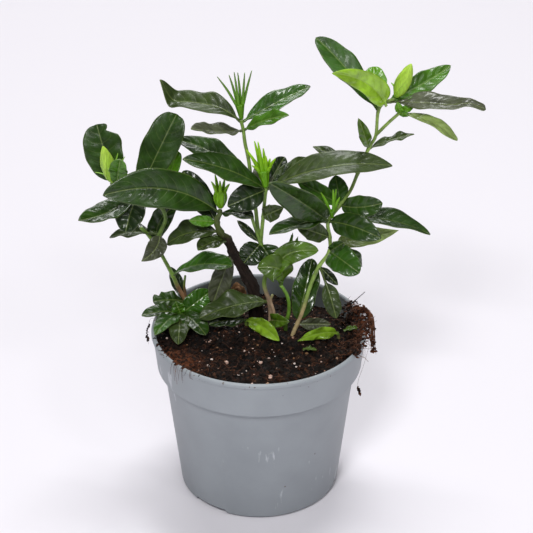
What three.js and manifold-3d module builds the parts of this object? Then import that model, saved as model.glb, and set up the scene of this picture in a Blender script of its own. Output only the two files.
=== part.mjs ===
// A young gardenia in its 13 cm nursery pot: five rooted cuttings, their leaves, buds and calyxes,
// the peat they stand in and the thin plastic pot. Millimetres, +Z up, front towards -Y. The origin is
// the centre of the pot's underside.
import * as THREE from 'three';
import { mergeVertices } from 'three/addons/utils/BufferGeometryUtils.js';
import Module from 'manifold-3d';

// ---- driving dimensions -------------------------------------------------------------------------

const POT = {
  rimRadius: 65, // outside of the rolled lip
  height: 107.5,
  baseRadius: 49,
  bodyTopRadius: 58, // body just under the rim band
  bandBottom: 83.5, // the rim band runs from here to the lip
  bandRadius: 62,
  wall: 1.1,
  floorTop: 4,
  footDepth: 2.5, // how far the underside rises between foot ring and centre pad
  stepFoot: 83.7, // inside, the wall steps out from here to stepTop, behind the foot of the band
  stepTop: 84.7,
};
const ROUND = 32; // facets round the pot and the soil
const GAP = 0.35; // clearance between neighbouring solids
const HOLE_GAP = 0.5; // clearance of a stem in its hole
const STEM_SIDES = 6;

const SOIL_LEVEL = 103; // peat at the front, just under the lip
const SOIL_DROP = 9.5; // how much lower it lies at the back right
const CRUMB = 1.1; // height of the crumbs on the peat

const BLADE = 0.7; // thickness of a leaf
const PETIOLE = 0.8; // half width of a leaf stalk
const NOTCH_REACH = 0.1; // share of a leaf's length that a bite in its edge spans, to each side
const BUD_TURN = 1.6; // radians that the furled petals wind from the foot of a bud to its tip
const LARGE_LEAF = 18; // a blade this wide gets a finer grid

// A leaf says which point of its stem it grows from, where its tip is, how wide it is and which way its
// upper side faces. arch lifts the midrib between base and tip, wind bends it up and then down, sway bends
// it sideways, fold raises both halves (degrees), wave ripples the edge, twist turns the blade (degrees).
// stalk is the share of the length that is bare petiole, belly is where the blade is widest, taper how
// pointed its ends are and notch a bite out of one side.
const FORWARD = [0, -0.87, 0.49];
const UPWARD = [0, -0.15, 1];
const STEEP = [0, -0.7, 0.7];
const SLOPING = [0, -0.35, 1];

const SHOOTS = {
  shoot_left: {
    colour: 'leaf',
    limbs: [
      {
        from: 2.1,
        to: 1.25,
        path: [
          [-42, 30, 88], [-43, 30, 101], [-45, 30, 107], [-50, 29, 118], [-53, 28, 127], [-57, 27, 137],
          [-62, 26, 148], [-67, 25, 157], [-71, 24, 162],
        ],
      },
      {
        from: 1.3,
        to: 0.9,
        path: [
          [-62, 26, 148], [-60, 25, 157], [-56, 25, 168], [-60, 24, 178], [-71, 20, 187], [-85, 14, 196],
          [-85, 11.6, 197.8],
        ],
      },
      { from: 0.8, to: 0.7, path: [[-45, 30, 108], [-46, 26, 120], [-45, 22, 130]] },
    ],
    leaves: [
      {
        at: [1, 5], tip: [-94, 24, 230], width: 23, face: FORWARD, arch: 2, taper: 0.95, belly: 0.58,
        notch: [0.875, -1, 0.5],
      },
      { at: [1, 4], tip: [-48, 32, 233], width: 22, face: FORWARD, arch: 3, taper: 1, belly: 0.62 },
      { at: [1, 4], tip: [-104, -8, 184], width: 16, face: SLOPING, arch: -4 },
      { at: [1, 4], tip: [-78, 2, 171], width: 18, face: [-0.2, -0.8, 0.6], arch: 3, fold: 4, taper: 1 },
      { at: [1, 1], tip: [-91, 34, 150], width: 12, face: UPWARD, arch: 3 },
      { at: [1, 1], tip: [-70, 8, 148], width: 12, face: FORWARD, arch: 2, sway: 3, fold: 10, belly: 0.4 },
      { at: [1, 0], tip: [-49, 33, 173], width: 13, face: FORWARD, arch: 1, sway: 5, fold: 4 },
      { at: [1, 3], tip: [-48, 38, 206], width: 9, face: FORWARD, arch: 1, wave: 0, belly: 0.7 },
      { at: [0, 4], tip: [-16, 4, 147], width: 17, face: SLOPING, arch: 5, fold: 10, belly: 0.6 },
      { at: [0, 2], tip: [-55, 42, 125], width: 8, face: FORWARD, arch: 2, fold: 5 },
      {
        at: [0, 2], tip: [-65, 20, 113], width: 12, face: [0, -0.5, 1], arch: 2, belly: 0.65, taper: 1.1,
        notch: [0.83, -1, 0.5],
      },
    ],
  },
  shoot_trunk: {
    colour: 'leaf',
    limbs: [
      {
        from: 5,
        to: 1.1,
        path: [
          [-2, 22, 88], [-2, 22, 103], [-3, 22, 119], [-8, 20, 132], [-13, 18, 144], [-16, 17, 150],
          [-19, 15, 159], [-23, 13, 165], [-25, 11, 173], [-23, 10, 179], [-22.8, 10.3, 181.6],
        ],
      },
    ],
    leaves: [
      {
        at: [0, 9], tip: [-89, -10, 201], width: 24, face: FORWARD, arch: 5, sway: -9, wave: 0.8,
        taper: 1.4,
      },
      { at: [0, 9], tip: [-3, -6, 184], width: 10, face: UPWARD, arch: 2, fold: 6 },
      { at: [0, 8], tip: [-41, 5, 177], width: 7, face: FORWARD, arch: 1, fold: 6 },
      { at: [0, 8], tip: [-45, 30, 197], width: 15, face: FORWARD, taper: 1.1 },
      { at: [0, 7], tip: [-55, 18, 154], width: 16, face: [0, -0.5, 1], arch: 6, fold: 10 },
      { at: [0, 6], tip: [-36, 0, 160], width: 15, face: UPWARD, arch: 2 },
      { at: [0, 5], tip: [-28, 14, 116], width: 13, face: [0, -0.9, 0.3], arch: -1, belly: 0.6, taper: 1.2 },
    ],
  },
  shoot_tall: {
    colour: 'leaf',
    limbs: [
      {
        from: 1.7,
        to: 1.1,
        path: [
          [7, 12, 88], [7, 12, 105], [6, 12, 118], [3, 12, 130], [5, 12, 145], [1, 12, 158], [-1, 13, 170],
          [-2, 14, 180], [-4, 16, 193], [-6, 18, 210], [-8, 19, 220], [-9, 20, 228], [-10, 20, 233],
          [-10, 19.8, 234.6],
        ],
      },
      {
        from: 1.3,
        to: 1.2,
        path: [[1, 12, 158], [2, 9, 172], [2.5, 8, 178], [3, 7, 185], [4, 5, 197], [4, 4.2, 198.8]],
      },
      { from: 1.2, to: 1.2, path: [[1, 12, 158], [-2, 11, 168], [-5, 10, 179]] },
    ],
    leaves: [
      { at: [0, 12], tip: [-57, 34, 254], width: 18, face: [0, -0.3, 1], wind: 4, fold: 12, wave: 0.8 },
      { at: [0, 12], tip: [30, 40, 247], width: 15, face: [0, -0.3, 1], arch: 1, fold: 10 },
      { at: [0, 11], tip: [-38, -4, 240], width: 16, face: UPWARD, arch: -1 },
      { at: [0, 11], tip: [17, 8, 243], width: 11, face: [0, -0.5, 1], arch: 2 },
      { at: [0, 8], tip: [-50, 40, 213], width: 17, face: SLOPING, arch: 8, wave: 1.2 },
      { at: [1, 4], tip: [-43, -8, 223], width: 18, face: [0, -0.5, 1], arch: 5 },
      { at: [1, 4], tip: [77, 8, 211], width: 21, face: SLOPING, arch: 9, wave: 0.8 },
      { at: [1, 4], tip: [-18, -6, 192], width: 14, face: FORWARD, arch: 3, fold: 6 },
      { at: [1, 4], tip: [15, 26, 208], width: 11, face: STEEP, arch: 2 },
      { at: [1, 4], tip: [2, 22, 207], width: 13, face: FORWARD, taper: 1.1 },
      { at: [1, 4], tip: [31, 30, 205], width: 9, face: STEEP, arch: 3 },
      { at: [1, 2], tip: [14, -4, 190], width: 8, face: FORWARD, arch: 2 },
      { at: [0, 5], tip: [-13, 22, 168], width: 5, face: FORWARD, arch: 1, fold: 6 },
      { at: [0, 5], tip: [12, 8, 141], width: 14, face: FORWARD, arch: 2, fold: 6, taper: 1.2 },
      { at: [0, 5], tip: [-9, 6, 148], width: 13, face: FORWARD, arch: 2, fold: 6, taper: 1.2 },
      { at: [0, 2], tip: [-36, 0, 113], width: 19, face: SLOPING, arch: 4, wave: 1.4 },
      { at: [0, 1], tip: [18, -2, 112], width: 9, face: FORWARD, arch: 3, fold: 10 },
    ],
  },
  shoot_right: {
    colour: 'leaf',
    limbs: [
      {
        from: 1.9,
        to: 1.1,
        path: [
          [20, 0, 88], [20, 0, 100], [23, 2, 108], [26, 4, 115], [31, 8, 132], [36, 11, 143], [42, 13, 152],
          [42, 14, 161], [41, 15, 171], [48, 17, 181], [54, 19, 190], [58, 21, 200], [64, 23, 215],
          [68, 24, 223], [69, 25, 238], [73, 24, 244], [78, 22.5, 246.5],
        ],
      },
      { from: 1.0, to: 0.9, path: [[68, 24, 223], [75, 22, 232], [81, 20, 239]] },
    ],
    leaves: [
      {
        at: [0, 8], tip: [6, -28, 218], width: 18, face: [0, -1, 0.15], arch: 3, sway: -2, fold: 10,
        taper: 1.1,
      },
      { at: [0, 8], tip: [6, -14, 178], width: 12, face: UPWARD, arch: 2, fold: 10 },
      { at: [0, 9], tip: [72, 6, 188], width: 14, face: FORWARD, arch: 3, sway: -2, taper: 1.2 },
      { at: [0, 8], tip: [101, 8, 166], width: 17, face: UPWARD, arch: 7, fold: 10, stalk: 0.12 },
      { at: [0, 8], tip: [71, -8, 172], width: 16, face: FORWARD, arch: 4, sway: 1.5 },
      { at: [0, 7], tip: [22, 0, 176], width: 10, face: FORWARD, arch: 1 },
      { at: [0, 6], tip: [50, 4, 163], width: 7, face: FORWARD, arch: 1, fold: 6 },
      { at: [0, 6], tip: [59, -8, 149], width: 17, face: FORWARD, arch: 4, fold: 6, taper: 1.1 },
      { at: [0, 6], tip: [62, 20, 138], width: 10, face: [0.3, -0.5, 0.8], arch: 5 },
      { at: [0, 5], tip: [47, 4, 134], width: 6, face: FORWARD, arch: 1, fold: 6 },
      { at: [0, 2], tip: [32, 22, 142], width: 16, face: FORWARD, arch: 2, fold: 10, taper: 1.1 },
      { at: [0, 5], tip: [46, -8, 118], width: 11, face: [0.2, -0.9, 0.2], arch: 4, fold: 6, stalk: 0.35 },
      { at: [0, 9], tip: [22, 12, 200], width: 9, face: FORWARD, arch: 1 },
      { at: [0, 9], tip: [45, 24, 197], width: 12, face: FORWARD, arch: 1, fold: 6 },
      { at: [0, 11], tip: [32, 36, 210], width: 9, face: UPWARD, arch: 2, fold: 6 },
      { at: [0, 12], tip: [57, 12, 239], width: 7, face: FORWARD, arch: 2, fold: 10 },
      { at: [0, 12], tip: [91, 32, 220], width: 7, face: UPWARD, arch: 1, fold: 10 },
      { at: [0, 14], tip: [33, 48, 274], width: 17, face: [0.4, -0.8, 0.5], arch: 3, sway: 1.5, belly: 0.58 },
      { at: [0, 14], tip: [67, 50, 255], width: 14, face: FORWARD, arch: 2, fold: 6, taper: 1 },
      { at: [0, 15], tip: [111, 40, 260], width: 13, face: STEEP, arch: 2, sway: -2 },
      { at: [0, 15], tip: [129, 10, 245], width: 16, face: [0, -0.3, 1], arch: 2, belly: 0.43, taper: 3.2 },
      { at: [1, 2], tip: [114, 8, 228], width: 10, face: UPWARD, arch: 2, belly: 0.6 },
      { at: [0, 2], tip: [43, 0, 109], width: 8, face: FORWARD, arch: 0, fold: 12 },
    ],
  },
  shoot_young: {
    colour: 'young',
    limbs: [
      { from: 1.4, to: 1, path: [[16, 8, 88], [16, 8, 103], [18, 6, 115], [17, 4, 126], [13, 4, 134]] },
    ],
    leaves: [
      { at: [0, 4], tip: [-1, 0, 148], width: 17, face: FORWARD, arch: 5, sway: -7, fold: 4, belly: 0.55 },
      { at: [0, 4], tip: [35, 3, 158], width: 13, face: FORWARD, arch: 6, sway: 11, fold: 6, belly: 0.6 },
      { at: [0, 4], tip: [20, 12, 165], width: 3.5, face: FORWARD, fold: 14 },
      { at: [0, 4], tip: [23, 9, 164], width: 3.5, face: FORWARD, fold: 14 },
    ],
  },
  sprout_front: {
    colour: 'young',
    limbs: [{ from: 1.2, to: 0.9, path: [[-8, 9, 88], [-8, 9, 104], [-8, 8, 107]] }],
    leaves: [
      { at: [0, 2], tip: [12, -14, 106], width: 11, face: FORWARD, arch: 2, fold: 12 },
      { at: [0, 2], tip: [-30, -2, 110], width: 12, face: SLOPING, arch: 2 },
    ],
  },
  sprout_right: {
    colour: 'young',
    limbs: [{ from: 1.2, to: 0.9, path: [[48, 0, 88], [48, 0, 100], [47, -2, 104]] }],
    leaves: [{ at: [0, 2], tip: [23, -16, 107], width: 8, face: FORWARD, arch: 2, fold: 12, belly: 0.35 }],
  },
  rosette: {
    colour: 'leaf',
    limbs: [{ from: 1.6, to: 1.3, path: [[-48, 18, 88], [-48, 18, 102], [-48, 17, 106]] }],
    leaves: [
      { at: [0, 2], tip: [-30, 24, 118], width: 14, face: [0.2, -0.8, 0.6], arch: 2, taper: 1.1 },
      { at: [0, 2], tip: [-51, 17, 115], width: 9, face: FORWARD, arch: 1, fold: 14 },
      { at: [0, 2], tip: [-71, 5, 112], width: 11, face: SLOPING, arch: 3 },
      { at: [0, 2], tip: [-62, -14, 110], width: 12, face: UPWARD, arch: 3, fold: 6 },
      { at: [0, 2], tip: [-32, -9, 107], width: 14, face: UPWARD, arch: 3, fold: 6, taper: 1.1 },
      { at: [0, 2], tip: [-48, -18, 106], width: 13, face: UPWARD, arch: 3, taper: 1.1 },
    ],
  },
};

// Leaves that are still pale and stand on their own beside the dark shoot that bore them.
const YOUNG_LEAVES = {
  young_leaf_top: {
    base: [73.4, 21.7, 242.4], tip: [41, 2, 271], width: 15, face: FORWARD, arch: 2, sway: -5, fold: 14,
    taper: 1.2, belly: 0.32,
  },
  young_leaf_back: {
    base: [44, 16, 156], tip: [84, 30, 157], width: 12, face: FORWARD, arch: 2, sway: -1, belly: 0.35,
  },
  young_leaf_left: {
    base: [-82.5, 6.5, 199.5], tip: [-79, -1, 219.5], width: 11, face: FORWARD, fold: 10, taper: 1,
    belly: 0.6,
  },
};

// A calyx is a ribbed cup with narrow pointed lobes. base is its foot, cup the length of the cup, and
// each lobe tip is given from the foot.
const CALYXES = {
  calyx_top: {
    base: [-10, 19.6, 235.4], cup: 9, radius: 2.2,
    lobes: [[-13.5, -2, 27], [-7, 3, 26], [-4, -1, 29.5], [-2, 3, 27.5], [2, -2, 29.5], [6, 1, 29.5]],
  },
  calyx_centre: {
    base: [4, 3.6, 199.8], cup: 10, radius: 2.6,
    lobes: [[-11, -2, 24.5], [-6.5, 1, 28.5], [-4.5, -2, 29.5], [0, -3, 20], [2.5, 2, 15], [5, 0, 17]],
  },
  calyx_left: {
    base: [-22.6, 10.6, 182.6], cup: 9, radius: 2.8,
    lobes: [[-5, -2, 18], [-3, 3, 20], [0, -3, 19], [2.5, 3, 17], [5.5, -1, 16]],
  },
  calyx_low: {
    base: [-5, 10, 179.5], cup: 3, radius: 1.2,
    lobes: [[-6.5, -1, 4], [-4, 2, 8], [-2, -1, 9], [0.5, 1, 9]],
  },
  calyx_right: {
    base: [43, 8.7, 176.8], cup: 5, radius: 1.5,
    lobes: [[-6, -5, 11], [-7, -3, 18], [0, -3, 20], [2, 2, 18], [4, -1, 14]],
  },
};

// A bud is a furled spiral of petals over a short calyx with a few thin sepals.
const BUDS = {
  bud_left: {
    base: [-85, 10.5, 198.8], tip: [-89, 4, 225.5], radius: 4.2,
    sepals: [[-10, 0, 7], [7.5, 2, 16], [3.5, 2, 18]],
  },
  bud_right: {
    base: [78.7, 22.3, 247.4], tip: [86.5, 20, 269.5], radius: 4.1,
    sepals: [[1, -3, 12], [5, 1, 13], [-3, 1, 9]],
  },
};

// The clump of fibrous roots that hangs over the rim at the right.
const ROOT_CLUMP = {
  path: [
    [55, 15, 104], [57, 15.5, 108], [61, 17, 110.6], [65.5, 17.5, 110.4], [68.5, 16, 107], [69.7, 13, 101],
    [70.2, 9, 93], [71, 6, 85],
  ],
  from: 2.4,
  to: 1,
};

const COLOURS = {
  pot: { color: 0x8d949a, roughness: 0.5, metalness: 0 },
  soil: { color: 0x2a1e17, roughness: 0.95, metalness: 0 },
  root: { color: 0x4a2f20, roughness: 0.9, metalness: 0 },
  leaf: { color: 0x2c4424, roughness: 0.4, metalness: 0 },
  young: { color: 0x6f9a2e, roughness: 0.5, metalness: 0 },
  calyx: { color: 0x7fb51e, roughness: 0.5, metalness: 0 },
  bud: { color: 0xa2d62f, roughness: 0.45, metalness: 0 },
};

// ---- solids -------------------------------------------------------------------------------------

const wasm = await Module();
wasm.setup();

const vec = (list) => new THREE.Vector3(...list);

// The same shape with its shared corners merged, which is done while it is still straight and round.
function welded(geometry) {
  geometry.deleteAttribute('normal');
  geometry.deleteAttribute('uv');
  return mergeVertices(geometry, 1e-4);
}

// A closed, welded geometry as a solid, with its flat triangles dropped and its faces turned outwards.
function toSolid(geometry) {
  const { position } = geometry.attributes;
  const kept = [];
  let volume = 0;
  for (let i = 0; i < geometry.index.count; i += 3) {
    const ids = [0, 1, 2].map((k) => geometry.index.getX(i + k));
    if (new Set(ids).size < 3) continue;
    const [a, b, c] = ids.map((id) => new THREE.Vector3().fromBufferAttribute(position, id));
    volume += a.dot(b.cross(c));
    kept.push(ids);
  }
  const turned = volume < 0 ? kept.map(([a, b, c]) => [a, c, b]) : kept;
  const mesh = new wasm.Mesh({
    numProp: 3,
    vertProperties: Float32Array.from(position.array),
    triVerts: Uint32Array.from(turned.flat()),
  });
  return new wasm.Manifold(mesh);
}

const joined = (solids) => solids.reduce((whole, piece) => whole.add(piece));

function toMesh(name, solid, colour) {
  const { vertProperties, triVerts } = solid.getMesh();
  const geometry = new THREE.BufferGeometry();
  geometry.setAttribute('position', new THREE.BufferAttribute(Float32Array.from(vertProperties), 3));
  geometry.setIndex(new THREE.BufferAttribute(Uint32Array.from(triVerts), 1));
  geometry.computeVertexNormals();
  const mesh = new THREE.Mesh(geometry, new THREE.MeshStandardMaterial(COLOURS[colour]));
  mesh.name = name;
  return mesh;
}

// ---- stems --------------------------------------------------------------------------------------

// A lathe-turned rod, one ring for each station, bent along a curve. radiusAt gives each ring's radius.
function bentRod(path, stations, sides, radiusAt) {
  const curve = new THREE.CatmullRomCurve3(path.map(vec));
  const profile = [new THREE.Vector2(0, 0)];
  for (let i = 0; i <= stations; i += 1) profile.push(new THREE.Vector2(radiusAt(i / stations), i));
  profile.push(new THREE.Vector2(0, stations));
  const rod = welded(new THREE.LatheGeometry(profile, sides));
  const position = rod.attributes.position;
  const chord = vec(path.at(-1)).sub(vec(path[0]));
  const across = Math.abs(chord.x) > Math.abs(chord.z) ? vec([0, 1, 0]) : vec([1, 0, 0]);
  for (let i = 0; i < position.count; i += 1) {
    const t = position.getY(i) / stations;
    const tangent = curve.getTangent(t);
    const right = across.clone().addScaledVector(tangent, -across.dot(tangent)).normalize();
    const ahead = tangent.clone().cross(right);
    const point = curve.getPoint(t);
    point.addScaledVector(right, position.getX(i)).addScaledVector(ahead, position.getZ(i));
    position.setXYZ(i, point.x, point.y, point.z);
  }
  return toSolid(rod);
}

// A stem tapers from root to tip.
function limbSolid({ path, from, to }, extra = 0) {
  return bentRod(path, path.length - 1, STEM_SIDES, (t) => from + (to - from) * t + extra);
}

// ---- leaves -------------------------------------------------------------------------------------

const LEAF_DEFAULTS = {
  face: UPWARD, arch: 0, wind: 0, sway: 0, fold: 8, wave: 0.5, twist: 0,
  stalk: 0.07, belly: 0.5, taper: 1.5, notch: [0, 0, 0],
};

// Half width of the blade at s, its share of the way from the end of the stalk to the tip.
function bladeOutline(s, belly, taper) {
  const rise = (s / belly) ** (taper * belly);
  const fall = ((1 - s) / (1 - belly)) ** (taper * (1 - belly));
  return rise * fall;
}

// The point of a leaf at u (base to tip), v (left edge -1 to right edge 1) and h (height off its middle).
function leafPoint(leaf, u, v, h) {
  const base = vec(leaf.base);
  const span = vec(leaf.tip).sub(base);
  const along = span.clone().normalize();
  const up = vec(leaf.face);
  up.addScaledVector(along, -up.dot(along)).normalize();
  const side = up.clone().cross(along);
  const turns = 2 * Math.PI * u;
  const bow = 4 * u * (1 - u);
  const slope = 4 * (1 - 2 * u);
  const rise = leaf.arch * bow + leaf.wind * Math.sin(turns);
  const climb = leaf.arch * slope + leaf.wind * 2 * Math.PI * Math.cos(turns);
  const tangent = span.clone().addScaledVector(up, climb).addScaledVector(side, leaf.sway * slope);
  tangent.normalize();
  const across = side.clone().applyAxisAngle(tangent, THREE.MathUtils.degToRad(leaf.twist * u));
  const lift = tangent.clone().cross(across).normalize();
  const s = Math.max(0, (u - leaf.stalk) / (1 - leaf.stalk));
  const [notchAt, notchSide, notchDepth] = leaf.notch;
  const bitten = Math.sign(v) === notchSide ? Math.max(0, 1 - Math.abs(u - notchAt) / NOTCH_REACH) : 0;
  const blade = (leaf.width / 2) * bladeOutline(s, leaf.belly, leaf.taper) * (1 - notchDepth * bitten);
  const half = Math.max(u < 1 ? PETIOLE : PETIOLE / 2, blade);
  const raise = THREE.MathUtils.degToRad(leaf.fold);
  const edge = Math.abs(v);
  const ripple = leaf.wave * edge * edge * bow * Math.sin(2 * Math.PI * (2.2 * u + 0.22 * Math.sign(v)));
  const point = base.addScaledVector(span, u);
  point.addScaledVector(up, rise).addScaledVector(side, leaf.sway * bow);
  point.addScaledVector(across, half * v * Math.cos(raise));
  point.addScaledVector(lift, half * edge * Math.sin(raise) + ripple + h);
  return point;
}

// A thin closed blade: the same grid for its two faces, so that both are split alike, and a rim between.
function leafSolid(settings) {
  const leaf = { ...LEAF_DEFAULTS, ...settings };
  const large = leaf.width >= LARGE_LEAF;
  const lengthwise = large ? 8 : 6;
  const crosswise = large ? 4 : 2;
  const grid = new THREE.PlaneGeometry(1, 2, lengthwise, crosswise);
  const count = grid.attributes.position.count;
  const points = [];
  for (const h of [BLADE / 2, -BLADE / 2]) {
    for (let i = 0; i < count; i += 1) {
      const u = grid.attributes.position.getX(i) + 0.5;
      points.push(...leafPoint(leaf, u, grid.attributes.position.getY(i), h).toArray());
    }
  }
  const top = Array.from(grid.index.array);
  const faces = [...top];
  for (let i = 0; i < top.length; i += 3) faces.push(top[i] + count, top[i + 2] + count, top[i + 1] + count);
  const row = lengthwise + 1;
  const rim = [];
  for (let i = 0; i < lengthwise; i += 1) rim.push(i);
  for (let j = 0; j < crosswise; j += 1) rim.push(lengthwise + row * j);
  for (let i = lengthwise; i > 0; i -= 1) rim.push(i + row * crosswise);
  for (let j = crosswise; j > 0; j -= 1) rim.push(row * j);
  rim.forEach((a, k) => {
    const b = rim[(k + 1) % rim.length];
    faces.push(a, b, b + count, a, b + count, a + count);
  });
  const blade = new THREE.BufferGeometry();
  blade.setAttribute('position', new THREE.Float32BufferAttribute(points, 3));
  blade.setIndex(faces);
  return toSolid(blade);
}

function shootSolid({ limbs, leaves }) {
  const stems = limbs.map((limb) => limbSolid(limb));
  const blades = leaves.map(({ at: [limb, point], ...leaf }) => {
    const base = limbs[limb].path[point];
    return leafSolid({ ...leaf, base });
  });
  return joined([...stems, ...blades]);
}

// ---- calyxes and buds ---------------------------------------------------------------------------

function lobeSolid(root, tip, radius) {
  const middle = root.map((value, axis) => (value + tip[axis]) / 2 + (axis === 2 ? 1 : 0));
  return bentRod([root, middle, tip], 3, 3, (t) => radius * (1 - 0.75 * t * t));
}

function calyxSolid({ base, cup, radius, lobes }) {
  const reach = lobes.reduce((sum, lobe) => sum.add(vec(lobe)), new THREE.Vector3()).normalize();
  const end = vec(base).addScaledVector(reach, cup);
  const middle = vec(base).lerp(end, 0.5);
  const cupSolid = bentRod([base, middle.toArray(), end.toArray()], 3, 8, (t) => radius * (0.5 + 0.6 * t));
  const tips = lobes.map((lobe) => {
    const tip = vec(base).add(vec(lobe));
    const root = vec(base).addScaledVector(reach, cup * 0.8);
    const lean = tip.clone().sub(root).addScaledVector(reach, -tip.clone().sub(root).dot(reach)).normalize();
    root.addScaledVector(lean, radius * 0.55);
    return lobeSolid(root.toArray(), tip.toArray(), 0.75);
  });
  return joined([cupSolid, ...tips]);
}

// The furled petals show as five ridges that wind once round the bud.
function budSolid({ base, tip, radius, sepals }) {
  const stations = 8;
  const sides = 10;
  const profile = [new THREE.Vector2(0, 0)];
  for (let i = 0; i <= stations; i += 1) {
    const t = i / stations;
    profile.push(new THREE.Vector2(Math.max(0.12, Math.sin(Math.PI * t ** 0.85)) ** 0.7, t));
  }
  profile.push(new THREE.Vector2(0, 1));
  const bud = welded(new THREE.LatheGeometry(profile, sides));
  const position = bud.attributes.position;
  const axis = vec(tip).sub(vec(base));
  const right = vec([1, 0, 0]).addScaledVector(axis, -axis.x / axis.lengthSq()).normalize();
  const ahead = axis.clone().normalize().cross(right);
  for (let i = 0; i < position.count; i += 1) {
    const t = position.getY(i);
    const angle = Math.atan2(position.getZ(i), position.getX(i));
    const ridge = Math.round(angle / (Math.PI / 5)) % 2 === 0 ? 1 : 0.86;
    const girth = radius * ridge * Math.hypot(position.getX(i), position.getZ(i));
    const wound = angle + BUD_TURN * t;
    const point = vec(base).addScaledVector(axis, t);
    point.addScaledVector(right, girth * Math.cos(wound)).addScaledVector(ahead, girth * Math.sin(wound));
    position.setXYZ(i, point.x, point.y, point.z);
  }
  const foot = vec(base).addScaledVector(axis, 0.1);
  const thin = sepals.map((sepal) => lobeSolid(foot.toArray(), vec(base).add(vec(sepal)).toArray(), 0.7));
  return joined([toSolid(bud), ...thin]);
}

// ---- pot and soil -------------------------------------------------------------------------------

// Radius of the pot's inner wall at a height.
function innerRadius(z) {
  const { baseRadius, bodyTopRadius, bandBottom, bandRadius, rimRadius, height, wall, stepFoot } = POT;
  if (z <= stepFoot) return baseRadius - wall + ((bodyTopRadius - baseRadius) * z) / bandBottom;
  const flare = (rimRadius - bandRadius - 1.2) * ((z - bandBottom) / (height - bandBottom));
  return bandRadius - wall - 0.3 + flare;
}

function lathe(profile) {
  const turned = new THREE.LatheGeometry(profile.map(([r, z]) => new THREE.Vector2(r, z)), ROUND);
  turned.rotateX(Math.PI / 2);
  return welded(turned);
}

function potSolid() {
  const { rimRadius, height, baseRadius, bodyTopRadius, bandBottom, bandRadius, floorTop, footDepth } = POT;
  const { stepFoot, stepTop } = POT;
  const wallFoot = innerRadius(floorTop);
  const shell = toSolid(lathe([
    [0, 0], [13, 0], [15, footDepth], [baseRadius - 9, footDepth], [baseRadius - 7.5, 0],
    [baseRadius - 2.2, 0], [baseRadius, 2],
    [bodyTopRadius, bandBottom - 0.8], [bandRadius - 0.6, bandBottom], [bandRadius, bandBottom + 0.7],
    [rimRadius - 1.1, height - 3.6], [rimRadius, height - 2.6], [rimRadius, height - 0.9],
    [rimRadius - 0.8, height], [rimRadius - 2, height], [innerRadius(height - 1), height - 1],
    [innerRadius(stepTop), stepTop], [innerRadius(stepFoot), stepFoot],
    [wallFoot, floorTop + 2], [wallFoot - 2, floorTop], [0, floorTop],
  ]));
  const cuts = [];
  const notchWidth = 24;
  for (const degrees of [-42, 78, 198]) {
    const notch = new THREE.BoxGeometry(notchWidth, 11, 2 * (footDepth - 0.2));
    notch.translate(0, -(baseRadius - 2), 0);
    notch.rotateZ(THREE.MathUtils.degToRad(degrees));
    cuts.push(toSolid(welded(notch)));
  }
  const drainRadius = 4;
  for (let k = 0; k < 6; k += 1) {
    const drain = new THREE.CylinderGeometry(drainRadius, drainRadius, 3 * floorTop, 8);
    drain.rotateX(Math.PI / 2);
    drain.translate(0, -29, 0);
    drain.rotateZ(((k + 0.5) * Math.PI) / 3);
    cuts.push(toSolid(welded(drain)));
  }
  return shell.subtract(joined(cuts));
}

// The peat slopes down to the back right, and its crumbs are a seeded scatter of heights.
function soilHeight(x, y) {
  const slope = THREE.MathUtils.clamp((0.45 * x + 0.9 * y) / 60, 0, 1.1);
  return SOIL_LEVEL - SOIL_DROP * slope;
}

function seededDraw(seed) {
  let state = seed;
  return () => {
    state = (Math.imul(state, 1664525) + 1013904223) >>> 0;
    return state / 2 ** 32;
  };
}

function soilSolid(stems) {
  const bottom = POT.floorTop + GAP;
  const { stepFoot, stepTop } = POT;
  const profile = [
    [0, bottom], [innerRadius(bottom) - 2.4, bottom], [innerRadius(bottom) - GAP, bottom + 2.4],
    [innerRadius(stepFoot) - 2 * GAP, stepFoot + GAP],
    [innerRadius(stepTop) - 2 * GAP, stepTop + 1.5],
  ];
  const rings = 7;
  const firstTop = 90;
  for (let k = 0; k <= rings; k += 1) profile.push([(rings - k) / rings, firstTop + k]);
  const turned = lathe(profile);
  const position = turned.attributes.position;
  const draw = seededDraw(20);
  const crumbs = Array.from({ length: (rings + 1) * ROUND }, draw);
  for (let i = 0; i < position.count; i += 1) {
    const ring = Math.round(position.getZ(i)) - firstTop;
    if (ring < 0) continue;
    const share = (rings - ring) / rings;
    const facet = Math.round((Math.atan2(position.getY(i), position.getX(i)) * ROUND) / (2 * Math.PI));
    const angle = (facet * 2 * Math.PI) / ROUND;
    const crumb = crumbs[ring * ROUND + (share > 0 ? (facet + ROUND) % ROUND : 0)];
    const wide = POT.rimRadius - 4;
    const level = soilHeight(share * wide * Math.cos(angle), share * wide * Math.sin(angle));
    const height = level + CRUMB * (2 * crumb - 1);
    const reach = share * (innerRadius(height) - GAP);
    position.setXYZ(i, reach * Math.cos(angle), reach * Math.sin(angle), height);
  }
  return toSolid(turned).subtract(joined(stems));
}

// The plain hole that a stem stands in, a little wider and deeper than the stem.
function stemHole({ limbs: [limb] }) {
  const [x, y, z] = limb.path[0];
  const foot = bentRod([[x, y, z - 2 * GAP], [x, y, z + 1]], 1, STEM_SIDES, () => limb.from + HOLE_GAP);
  return limbSolid(limb, HOLE_GAP).add(foot);
}

// ---- the potted plant ---------------------------------------------------------------------------

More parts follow.
